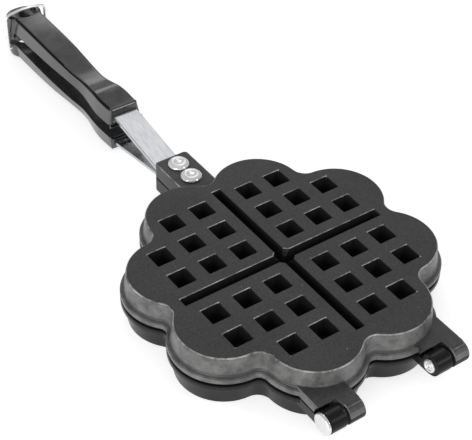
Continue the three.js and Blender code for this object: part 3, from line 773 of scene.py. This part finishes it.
def stud_block(ceiling):
    half = STUD_BASE / 2
    stud = add_block("stud", (-half, -half, STUD_SETBACK), (half, half, ceiling + OVERRUN))
    open_mesh(stud)
    pick("verts", lambda vert: near(vert.co.z, STUD_SETBACK))
    share = STUD_TIP / STUD_BASE
    bpy.ops.transform.resize(value=(share, share, 1), center_override=(0, 0, STUD_SETBACK))
    round_edges(rises, STUD_SETBACK / 2, segments=3)
    round_edges(lambda edge: at_height(edge, STUD_SETBACK), STUD_SETBACK / 4, segments=3)
    close_mesh()
    return stud


def knuckle_barrel(near_side, far_side):
    ends = ((PIN_REACH, near_side, 0), (PIN_REACH, far_side, 0))
    barrel = add_rod("knuckle", KNUCKLE_RADIUS, *ends, sides=KNUCKLE_SIDES)
    open_mesh(barrel)
    round_edges(lambda edge: near(edge.verts[0].co.y, edge.verts[1].co.y), KNUCKLE_ROUND, segments=2)
    close_mesh()
    return barrel


def knuckle_notch(near_side, far_side):
    """The arm beside a knuckle, hollowed out for the other half's knuckle."""
    notched = add_block(
        "notched", (ARM_ROOT, near_side, HALF_GAP), (NOTCH_REACH, far_side + FIT_GAP, KNUCKLE_RADIUS),
    )

    def crosses_end(edge):
        first, last = edge.verts[0].co, edge.verts[1].co
        return at_height(edge, KNUCKLE_RADIUS) and near(first.x, last.x) and first.x > ARM_ROOT + OVERRUN

    open_mesh(notched)
    round_edges(crosses_end, FLANGE_ROUND, segments=2)
    close_mesh()
    ends = ((PIN_REACH, near_side - OVERRUN, 0), (PIN_REACH, far_side, 0))
    room = add_rod("room", KNUCKLE_RADIUS + KNUCKLE_GAP, *ends, sides=KNUCKLE_SIDES)
    return combine(notched, room, "DIFFERENCE")


def hinge_arm(middle_y):
    """A bar with a knuckle on its +Y half and room for the other half's on its -Y half."""
    split = middle_y + KNUCKLE_GAP / 2
    inner = middle_y - ARM_WIDTH / 2
    outer = middle_y + ARM_WIDTH / 2
    bar = add_block("arm", (ARM_ROOT, split, HALF_GAP), (PIN_REACH, outer, KNUCKLE_RADIUS))
    combine(bar, knuckle_barrel(split, outer), "UNION")
    ends = ((PIN_REACH, split - OVERRUN, 0), (PIN_REACH, outer + OVERRUN, 0))
    bore = add_rod("bore", PIN_RADIUS + FIT_GAP, *ends)
    combine(bar, bore, "DIFFERENCE")
    return combine(bar, knuckle_notch(inner, split), "UNION")


def lug_block():
    half = LUG_WIDTH / 2
    root = -LUG_ROOT - OVERRUN
    lug = add_block("lug", (-LUG_REACH, -half, HALF_GAP), (-LUG_ROOT, half, LUG_HEIGHT))

    def on_rim(edge):
        return at_height(edge, LUG_HEIGHT) and not all(vert.co.x > root for vert in edge.verts)

    open_mesh(lug)
    round_edges(lambda edge: is_upright(edge) and edge.verts[0].co.x < root, LUG_CORNER, segments=6)
    round_edges(on_rim, LUG_ROUND, segments=3)
    close_mesh()
    return lug


def heart_cutters():
    heart = heart_cutter()
    stud = stud_block(PLATE_HEIGHT - ROOF_THICKNESS)
    studs = [copy_of(stud, "stud_copy", (x, y, 0)) for x, y in stud_places() if x > 0 and y > 0]
    bpy.data.objects.remove(stud)
    combine(heart, join_pieces(studs), "DIFFERENCE")
    return [heart, *(copy_of(heart, "heart_copy", turn=quarter * math.pi / 2) for quarter in (1, 2, 3))]


def plate_cutters():
    mouth, floor = (POCKET_MOUTH, POCKET_MOUTH), (POCKET_FLOOR, POCKET_FLOOR)
    square = sunk_shape("square", mouth, floor, POCKET_DEPTH)
    squares = [copy_of(square, "square_copy", (x, y, 0)) for x, y in stud_places()]
    bpy.data.objects.remove(square)
    hearts = heart_cutters()
    half = STRAP_WIDTH / 2 + FIT_GAP
    strap_top = STRAP_LIFT + STRAP_THICKNESS + FIT_GAP
    channel = add_block(
        "channel", (-LUG_REACH - OVERRUN, -half, -OVERRUN), (-STRAP_ROOT + FIT_GAP, half, strap_top),
    )
    low, high = strap_top + FIT_GAP, LUG_HEIGHT + OVERRUN
    holes = [
        add_rod("rivet_hole", RIVET_RADIUS + FIT_GAP, (-reach, 0, low), (-reach, 0, high))
        for reach in RIVET_REACHES.values()
    ]
    return squares + hearts + [channel] + holes


def painted_light_share(face):
    """Painted light: 1 on the outer wall, less on the flange, the arms, the lug and in the fillets, where the
    low share paints shade, 0 inside and on top.
    """
    place, normal = face.center, face.normal
    reach = math.hypot(place.x, place.y)
    ledge = HALF_GAP + FLANGE_HEIGHT
    if place.z > PLATE_HEIGHT - 2 * TOP_ROUND:
        return 1 - max(normal.z, 0) if reach > WALL_REACH else 0
    # A low share in the fillet paints shade in the crease above the ledge
    if ledge < place.z < ledge + FOOT_FILLET and FOOT_LEAN < normal.z < LEVEL:
        return FOOT_PAINTED_LIGHT_SHARE
    if normal.z > TURNED and HALF_GAP < place.z < ledge + FOOT_FILLET:
        return LEDGE_PAINTED_LIGHT_SHARE
    if normal.z > LEVEL and reach > WALL_REACH and place.z > HALF_GAP:
        return ARM_PAINTED_LIGHT_SHARE
    outward = (normal.x * place.x + normal.y * place.y) / max(reach, OVERRUN)
    return 1 if reach > WALL_REACH and outward > OUTWARD_LEAN else 0


def painted_edge_light_and_shade(face, mesh):
    """Painted highlight: 1 on narrow rounded edges that look up, inside the plate only on those turned
    towards the hinge, else 0.
    """
    place, normal = face.center, face.normal
    low_down = place.z < PLATE_HEIGHT / 2 and place.x < NOTCH_REACH - OVERRUN
    if low_down or not EDGE_HIGHLIGHT_LEAN < normal.z < LEVEL:
        return 0
    if math.hypot(place.x, place.y) < WALL_REACH and normal.x < HINGE_LEAN:
        return 0
    corners = [mesh.vertices[i].co for i in face.vertices]
    longest = max((a - b).length for a, b in zip(corners, corners[1:] + corners[:1]))
    return 1 if face.area < longest * EDGE_HIGHLIGHT_WIDTH else 0


def painted_recess_shade_share(face):
    """Painted shade: 1 in the pockets and grooves and along the gap between the halves, which are painted
    dark.
    """
    place, normal = face.center, face.normal
    if math.hypot(place.x, place.y) > WALL_REACH:
        return 1 if place.z < HALF_GAP + GAP_ROUND and normal.z > -LEVEL else 0
    return 1 if normal.z > RECESS_LEAN and place.z < PLATE_HEIGHT - POCKET_LIP * RECESS_LIP_SHARE else 0


def mark_faces(piece, marks):
    """Writes named values, one for each face, on a piece's mesh, for its material."""
    mesh = piece.data
    for name, values in marks.items():
        written = mesh.attributes.new(name, "FLOAT", "CORNER")
        for face, value in zip(mesh.polygons, values):
            for corner in face.loop_indices:
                written.data[corner].value = value


def cut_grooves(plate):
    """Cuts the two crossing grooves and the chamfered corners where they meet."""
    narrow = (2 * GROOVE_REACH, GROOVE_WIDTH)
    narrow_floor = (2 * GROOVE_REACH - (GROOVE_WIDTH - GROOVE_FLOOR), GROOVE_FLOOR)
    groove = sunk_shape("groove", narrow, narrow_floor, GROOVE_DEPTH)
    crossing = copy_of(groove, "groove_copy", turn=math.pi / 2)
    combine(plate, groove, "DIFFERENCE")
    combine(plate, crossing, "DIFFERENCE")
    side = math.sqrt(2) * (GROOVE_WIDTH + CROSS_CORNER)
    corners = sunk_shape("corners", (side, side), (side - CROSS_CORNER, side - CROSS_CORNER), CROSS_DEPTH)
    combine(plate, copy_of(corners, "corners_copy", turn=math.pi / 4), "DIFFERENCE")
    bpy.data.objects.remove(corners)


def make_plate():
    plate = plate_shell()
    arms = [hinge_arm(side * ARM_OFFSET) for side in (-1, 1)]
    combine(plate, join_pieces([*arms, lug_block()]), "UNION")
    combine(plate, join_pieces(plate_cutters()), "DIFFERENCE")
    cut_grooves(plate)
    open_mesh(plate)
    face_outwards()
    close_mesh()
    faces = plate.data.polygons
    mark_faces(plate, {
        "painted_light_share": [painted_light_share(face) for face in faces],
        "painted_edge_light_and_shade": [painted_edge_light_and_shade(face, plate.data) for face in faces],
        "painted_recess_shade_share": [painted_recess_shade_share(face) for face in faces],
    })
    return smooth(plate)


# Grips
def share_line(rows, reference):
    """A smooth line through rows of shares, as a function of the share of the length."""
    places = [row[0] for row in rows]
    values = [row[1] for row in rows]

    def read(along):
        along = min(max(along, places[0]), places[-1])
        k = max(i for i in range(len(rows) - 1) if places[i] <= along)
        before, after = max(k - 1, 0), min(k + 2, len(rows) - 1)
        length = places[k + 1] - places[k]
        t = (along - places[k]) / length
        slope_in = (values[k + 1] - values[before]) / (places[k + 1] - places[before]) * length
        slope_out = (values[after] - values[k]) / (places[after] - places[k]) * length
        smooth_value = (
            (2 * t**3 - 3 * t**2 + 1) * values[k] + (t**3 - 2 * t**2 + t) * slope_in
            + (3 * t**2 - 2 * t**3) * values[k + 1] + (t**3 - t**2) * slope_out
        )
        return smooth_value * reference

    return read


outer_face = share_line(OUTER_FACE_SHARES, GRIP_DEPTH)
inner_face = share_line(INNER_FACE_SHARES, GRIP_DEPTH)
half_width = share_line(HALF_WIDTH_SHARES, GRIP_WIDTH)


def along_grip(reach):
    return (reach - GRIP_FRONT_REACH) / GRIP_LENGTH


def grip_top(reach):
    drop = RING_END_SLOPE * max(0, reach - RING_REACH) / RING_RADIUS
    return GRIP_LIFT + outer_face(along_grip(reach)) - drop


def grip_bottom(reach):
    return GRIP_LIFT + inner_face(along_grip(reach))


def grip_slab():
    """A flat slab with the grip's outline in plan, its sides leaning in towards the top."""
    front = GRIP_FRONT_REACH + COLLAR_LENGTH
    end_side = half_width(1) + GRIP_FLARE
    lead = math.asin(end_side / RING_RADIUS)
    ring_start = RING_REACH - RING_RADIUS * math.cos(lead)
    reaches = [front + (ring_start - front) * i / GRIP_STATIONS for i in range(GRIP_STATIONS + 1)]
    sides = [(reach, half_width(along_grip(reach)) + GRIP_FLARE) for reach in reaches]
    slab = add_point("slab", (-front, sides[0][1], 0))
    for (reach, y), (next_reach, next_y) in zip(sides, sides[1:]):
        draw_line((reach - next_reach, next_y - y, 0))
    draw_arc((-RING_REACH, 0, 0), 2 * (math.pi - lead), RING_STEPS)
    for (reach, y), (next_reach, next_y) in zip(sides[::-1], sides[-2::-1]):
        draw_line((reach - next_reach, y - next_y, 0))
    fill_outline()
    draw_line((0, 0, GRIP_CREASE))
    bpy.ops.mesh.inset(thickness=GRIP_FLARE, depth=GRIP_DEPTH - GRIP_CREASE)
    face_outwards()
    round_edges(lambda edge: leans(edge) and edge.verts[0].co.x > -front - OVERRUN, GRIP_ROUND, segments=4)
    round_edges(lambda edge: at_height(edge, GRIP_DEPTH), GRIP_ROUND, segments=5)
    round_edges(lambda edge: at_height(edge, 0), CREASE_ROUND, segments=3)
    close_mesh()
    return slab, reaches


def grip_hole_cutter():
    """An oval hole whose two mouths open in a rounded lip."""
    size = (HOLE_LENGTH + OVERRUN * 2, HOLE_WIDTH + OVERRUN * 2)
    short, long = (HOLE_LIP * share for share in LIP_SHARES)
    bpy.ops.object.select_all(action="DESELECT")
    bpy.ops.mesh.primitive_circle_add(vertices=ROUND_SIDES, radius=0.5, fill_type="NGON")
    cutter = bpy.context.active_object
    cutter.scale = (*size, 1)
    cutter.location = (-RING_REACH, 0, -OVERRUN)
    added("hole")
    open_mesh(cutter)
    bpy.ops.mesh.select_all(action="SELECT")
    levels = (
        (OVERRUN, HOLE_LIP), (short, short), (long, 0), (GRIP_DEPTH - 2 * HOLE_LIP, 0),
        (long, short), (short, HOLE_LIP), (OVERRUN, OVERRUN),
    )
    for rise, flare in levels:
        draw_line((0, 0, rise))
        wanted = (HOLE_LENGTH + 2 * flare, HOLE_WIDTH + 2 * flare)
        share = (wanted[0] / size[0], wanted[1] / size[1], 1)
        bpy.ops.transform.resize(value=share, center_override=(-RING_REACH, 0, 0))
        size = wanted
    face_outwards()
    close_mesh()
    return cutter


def cut_across(reaches):
    for reach in reaches:
        bpy.ops.mesh.select_all(action="SELECT")
        bpy.ops.mesh.bisect(plane_co=(-reach, 0, 0), plane_no=(1, 0, 0), threshold=JOIN_DISTANCE / 2)


def bend_slab():
    """Brings the flat slab's two faces to their heights, one band across it after another."""
    form = bmesh.from_edit_mesh(bpy.context.edit_object.data)
    bands = sorted({round(vert.co.x, ndigits=6) for vert in form.verts})
    for band in bands:
        reach = min(-band, GRIP_END_REACH)
        foot = grip_bottom(reach)
        stretch = (grip_top(reach) - foot) / GRIP_DEPTH
        pick("verts", lambda vert: abs(vert.co.x - band) <= JOIN_DISTANCE / 4)
        bpy.ops.transform.resize(value=(1, 1, stretch), center_override=(0, 0, 0))
        bpy.ops.transform.translate(value=(0, 0, foot))


def strap_rise(reach):
    """How far the strap's faces have risen at a reach: level, up to the grip, level again."""
    rising = min(max(reach, STRAP_BEND_REACH), STRAP_CRANK_REACH) - STRAP_BEND_REACH
    return rising * math.tan(STRAP_RISE)


def strap_slot():
    start = GRIP_FRONT_REACH - OVERRUN
    end = STRAP_CRANK_REACH + COLLAR_LENGTH
    half = STRAP_WIDTH / 2 + FIT_GAP
    low = STRAP_LIFT - FIT_GAP
    slot = add_block("slot", (-end, -half, low), (-start, half, low + STRAP_THICKNESS + 2 * FIT_GAP))
    open_mesh(slot)
    cut_across([STRAP_CRANK_REACH])
    for reach in (start, STRAP_CRANK_REACH, end):
        pick("verts", lambda vert: near(vert.co.x, -reach))
        bpy.ops.transform.translate(value=(0, 0, strap_rise(reach)))
    close_mesh()
    return slot


def make_grip():
    slab, reaches = grip_slab()
    combine(slab, grip_hole_cutter(), "DIFFERENCE")
    ring_cuts = [RING_REACH + RING_RADIUS * share for share in RING_CUT_SHARES]
    open_mesh(slab)
    cut_across(reaches[1:] + ring_cuts)
    bend_slab()
    front = GRIP_FRONT_REACH + COLLAR_LENGTH
    pick("faces", lambda face: face.normal.x > SQUARE and face.calc_center_median().x > -front - TOLERANCE)
    lips = [front - COLLAR_LENGTH * (lip + 1) / COLLAR_LIPS for lip in range(COLLAR_LIPS)]
    for _ in lips:
        bpy.ops.mesh.inset(thickness=COLLAR_STEP / COLLAR_LIPS)
        draw_line((COLLAR_LENGTH / COLLAR_LIPS, 0, 0))
    face_outwards()
    for lip in lips:
        round_edges(
            lambda edge: all(near(vert.co.x, -lip) for vert in edge.verts)
            and meets(edge, lambda face: face.normal.x < TURNED),
            COLLAR_STEP * COLLAR_ROUND_SHARE, segments=3,
        )
    close_mesh()
    return combine(slab, strap_slot(), "DIFFERENCE")


def painted_rolled_shade_share(face):
    """Painted shade: 1 on a grip's rounded long edges, a little on its front block's top, 0 elsewhere."""
    rolled = ROLLED_LEAN < abs(face.normal.z) < SQUARE and face.normal.x < FRONT_LEAN
    if rolled and face.center.x < COLLAR_LENGTH * 2 - GRIP_FRONT_REACH:
        return 1
    return BLOCK_PAINTED_SHADE_SHARE if face.normal.z > SQUARE and along_grip(-face.center.x) < BLOCK_SHARE else 0


def bail_holes():
    deep = RING_SIDE - BAIL_TAIL - FIT_GAP
    outside = RING_SIDE + OVERRUN
    holes = []
    for sign in (-1, 1):
        ends = ((-BAIL_REACH, sign * deep, BAIL_DEPTH), (-BAIL_REACH, sign * outside, BAIL_DEPTH))
        holes.append(add_rod("bail_hole", WIRE_RADIUS + FIT_GAP, *ends, sides=BAIL_HOLE_SIDES))
    return join_pieces(holes)


# Small pieces
def make_strap():
    half = STRAP_WIDTH / 2
    top = STRAP_LIFT + STRAP_THICKNESS
    strap = add_block("strap", (-STRAP_END_REACH, -half, STRAP_LIFT), (-STRAP_ROOT, half, top))
    open_mesh(strap)
    shifts = (-STRAP_BEND_LENGTH, -STRAP_BEND_LENGTH / 2, 0, STRAP_BEND_LENGTH / 2, STRAP_BEND_LENGTH)
    bands = [bend + shift for bend in (STRAP_BEND_REACH, STRAP_CRANK_REACH) for shift in shifts]
    cut_across(bands)
    for reach in [*bands, STRAP_END_REACH]:
        around = [strap_rise(reach + shift) for shift in shifts]
        pick("verts", lambda vert: near(vert.co.x, -reach))
        bpy.ops.transform.translate(value=(0, 0, sum(around) / len(around)))
    face_outwards()

    def is_corner(edge):
        flat = meets(edge, lambda face: abs(face.normal.z) > FACING)
        return runs_along(edge) and flat and meets(edge, lambda face: abs(face.normal.y) > FACING)

    round_edges(is_corner, STRAP_ROUND, segments=3)
    face_outwards()
    close_mesh()
    return smooth(strap)


def turned(name, profile):
    """A round piece spun about Z from a profile of (radius, height)."""
    piece = add_point(name, (profile[0][0], 0, profile[0][1]))
    for (r, z), (next_r, next_z) in zip(profile, profile[1:]):
        draw_line((next_r - r, 0, next_z - z))
    bpy.ops.mesh.select_all(action="SELECT")
    draw_arc((0, 0, 0), 2 * math.pi, ROUND_SIDES)
    face_outwards()
    close_mesh()
    return piece


def sized_profile(shares, radius, base, height):
    """A profile of (radius, height) from rows of shares, at its size."""
    return [(radius * across, base + height * along) for across, along in shares]


def make_rivet():
    """A rivet with a low domed head that carries a raised button."""
    seat = LUG_HEIGHT + FIT_GAP
    profile = [(0, STRAP_LIFT), (RIVET_RADIUS, STRAP_LIFT), (RIVET_RADIUS, seat)]
    profile += [(RIVET_HEAD_RADIUS - FIT_GAP, seat), (RIVET_HEAD_RADIUS, seat + FIT_GAP)]
    profile += sized_profile(RIVET_CROWN_SHARES, RIVET_HEAD_RADIUS, seat + FIT_GAP, RIVET_HEAD_HEIGHT)
    return smooth(turned("rivet", profile), angle=40)


def make_pin(headed):
    """A hinge pin along Y: a small riveted end at -Y, and a head or the same end at +Y."""
    half = ARM_WIDTH / 2 + FIT_GAP
    profile = sized_profile(PIN_END_SHARES, PIN_TAIL_RADIUS, -half, -PIN_TAIL_HEIGHT)[::-1]
    profile += [(PIN_RADIUS, -half), (PIN_RADIUS, half)]
    if headed:
        profile += sized_profile(PIN_HEAD_SHARES, PIN_HEAD_RADIUS, half, PIN_HEAD_HEIGHT)
    else:
        profile += sized_profile(PIN_END_SHARES, PIN_TAIL_RADIUS, half, PIN_TAIL_HEIGHT)
    pin = take(turned("pin", profile))
    pin.rotation_euler = (-math.pi / 2, 0, 0)
    bpy.ops.object.transform_apply(location=True, rotation=True, scale=True)
    return smooth(pin, angle=40)


def make_bail():
    """One wire: in through the grip's side, up, over in a low arch, down and in again."""
    low = -BAIL_DEPTH
    tail = RING_SIDE - BAIL_TAIL
    foot_y = RING_SIDE - BAIL_FOOT_BEND
    neck = BAIL_SHOULDER - BAIL_BEND
    side_x = (1, 0, 0)
    bend_y = RING_SIDE - BAIL_BEND
    arch_y = bend_y + BAIL_BEND * math.sin(BAIL_ARCH_ANGLE)
    arch_radius = arch_y / math.sin(BAIL_ARCH_ANGLE)
    arch_z = neck + (BAIL_BEND - arch_radius) * math.cos(BAIL_ARCH_ANGLE)
    corner = math.pi / 2 - BAIL_ARCH_ANGLE
    bpy.ops.object.select_all(action="DESELECT")
    bpy.ops.mesh.primitive_circle_add(
        vertices=WIRE_SIDES, radius=WIRE_RADIUS, fill_type="NGON",
        location=(0, -tail, low), rotation=(math.pi / 2, 0, 0),
    )
    bail = added("bail")
    open_mesh(bail)
    bpy.ops.mesh.select_all(action="SELECT")
    draw_line((0, tail - foot_y, 0))
    draw_arc((0, -foot_y, low + BAIL_FOOT_BEND), -math.pi / 2, FOOT_BEND_STEPS, side_x)
    draw_line((0, 0, neck - low - BAIL_FOOT_BEND))
    draw_arc((0, -bend_y, neck), -corner, SHOULDER_STEPS, side_x)
    draw_arc((0, 0, arch_z), -2 * BAIL_ARCH_ANGLE, ARCH_STEPS, side_x)
    draw_arc((0, bend_y, neck), -corner, SHOULDER_STEPS, side_x)
    draw_line((0, 0, low + BAIL_FOOT_BEND - neck))
    draw_arc((0, foot_y, low + BAIL_FOOT_BEND), -math.pi / 2, FOOT_BEND_STEPS, side_x)
    draw_line((0, tail - foot_y, 0))
    face_outwards()
    close_mesh()
    take(bail)
    bail.location = (-BAIL_REACH, 0, 0)
    bpy.ops.object.transform_apply(location=True, rotation=True, scale=True)
    return smooth(bail, angle=50)


# The iron
coatings = {side: make_coating(f"{side} coating", **looks) for side, looks in COATINGS.items()}
flat_steel = make_flat_steel()
pin_steel = make_bright_steel("bright steel", PIN_TONE)
rivet_steel = make_bright_steel("plated steel", RIVET_TONE)
moulded_black = make_moulded_black()


def dress_half(side, plate, strap, grip, rivet):
    """Sets copies of the shared shapes down as one half of the iron."""
    body = f"{side}_half"
    casting = set_down(copy_of(plate, "plate"), side)
    hand_over(casting, f"{side}_plate", body, coatings[side])
    bar = set_down(copy_of(strap, "strap"), side)
    hand_over(bar, f"{side}_strap", body, flat_steel)
    handle = copy_of(grip, "grip")
    if side == "lower":
        combine(handle, bail_holes(), "DIFFERENCE")
    mark_faces(handle, {"painted_edge_light_and_shade": [painted_rolled_shade_share(face) for face in handle.data.polygons]})
    set_down(smooth(handle, angle=28), side)
    hand_over(handle, f"{side}_grip", body, moulded_black)
    for place, reach in RIVET_REACHES.items():
        head = set_down(copy_of(rivet, "rivet", (-reach, 0, 0)), side)
        hand_over(head, f"{side}_lug_rivet_{place}", body, rivet_steel)


def dress_pin(side, sign):
    """Sets down one hinge pin; the left one has the broad head."""
    pin = make_pin(headed=side == "left")
    placed = copy_of(pin, "pin", (PIN_REACH, sign * ARM_OFFSET, 0), math.pi if sign < 0 else 0)
    hand_over(set_down(placed, "upper"), f"{side}_hinge_pin", "lower_half", pin_steel)
    bpy.data.objects.remove(pin)


shapes = (make_plate(), make_strap(), make_grip(), make_rivet())
for side in COATINGS:
    dress_half(side, *shapes)
for shape in shapes:
    bpy.data.objects.remove(shape)
for side, sign in (("left", -1), ("right", 1)):
    dress_pin(side, sign)
hand_over(set_down(make_bail(), "upper"), "latch_bail", "latch", rivet_steel)
for side in COATINGS:
    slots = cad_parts[f"{side}_grip_screw"].data.materials
    slots.clear()
    slots.append(pin_steel)


# Floor, light and camera
def seen_or_mirrored(tree):
    """1 for rays from the camera and for rays that mirror or pass through, else 0."""
    path = tree.nodes.new("ShaderNodeLightPath")
    total = path.outputs["Is Camera Ray"]
    for name in ("Is Glossy Ray", "Is Transmission Ray"):
        step = tree.nodes.new("ShaderNodeMath")
        step.operation = "MAXIMUM"
        tree.links.new(total, step.inputs[0])
        tree.links.new(path.outputs[name], step.inputs[1])
        total = step.outputs["Value"]
    return total


def make_floor():
    """A plain pale floor that shows white and keeps the iron's shadow."""
    bpy.ops.object.select_all(action="DESELECT")
    bpy.ops.mesh.primitive_plane_add(size=FLOOR_SIZE, location=(0, 0, 0))
    floor = bpy.context.active_object
    floor.name = "floor"
    finish, shader = new_finish("pale floor", (FLOOR_TONE,) * 3, FLOOR_ROUGHNESS)
    floor.data.materials.append(finish)
    tree = finish.node_tree
    glow = tree.nodes.new("ShaderNodeEmission")
    both = tree.nodes.new("ShaderNodeAddShader")
    strength = blend_range(finish, seen_or_mirrored(tree), 0, FLOOR_GLOW, from_low=0, from_high=1)
    tree.links.new(strength, glow.inputs["Strength"])
    tree.links.new(shader.outputs["BSDF"], both.inputs[0])
    tree.links.new(glow.outputs["Emission"], both.inputs[1])
    tree.links.new(both.outputs["Shader"], tree.nodes["Material Output"].inputs["Surface"])


def add_lamp(name, place, aim, size, power):
    lamp = bpy.data.lights.new(name, "AREA")
    lamp.shape = "RECTANGLE"
    lamp.size, lamp.size_y = size
    lamp.energy = power
    holder = bpy.data.objects.new(name, lamp)
    bpy.context.scene.collection.objects.link(holder)
    holder.location = place
    holder.rotation_euler = (Vector(aim) - Vector(place)).to_track_quat("-Z", "Y").to_euler()


def light_sky():
    world = bpy.data.worlds.new("studio")
    bpy.context.scene.world = world
    world.use_nodes = True
    sky = world.node_tree.nodes["Background"]
    sky.inputs["Color"].default_value = (1, 1, 1, 1)
    sky.inputs["Strength"].default_value = SKY_STRENGTH


def place_camera():
    lens = bpy.data.cameras.new("camera")
    lens.sensor_width = CAMERA_SENSOR
    lens.lens = CAMERA_LENS
    camera = bpy.data.objects.new("camera", lens)
    bpy.context.scene.collection.objects.link(camera)
    right, down, ahead = (Vector(axis) for axis in (CAMERA_RIGHT, CAMERA_DOWN, CAMERA_AHEAD))
    turn = Matrix((right, -down, -ahead)).transposed().to_4x4()
    plate_top = (CENTRE_X, 0, 2 * PLATE_HEIGHT)
    spot = Vector([steps * STUD_PITCH + start for steps, start in zip(CAMERA_STEPS, plate_top)])
    camera.matrix_world = Matrix.Translation(spot) @ turn
    bpy.context.scene.camera = camera


make_floor()
for lamp_row in LAMPS:
    add_lamp(*lamp_row)
light_sky()
place_camera()
bpy.context.scene.view_settings.view_transform = "Standard"
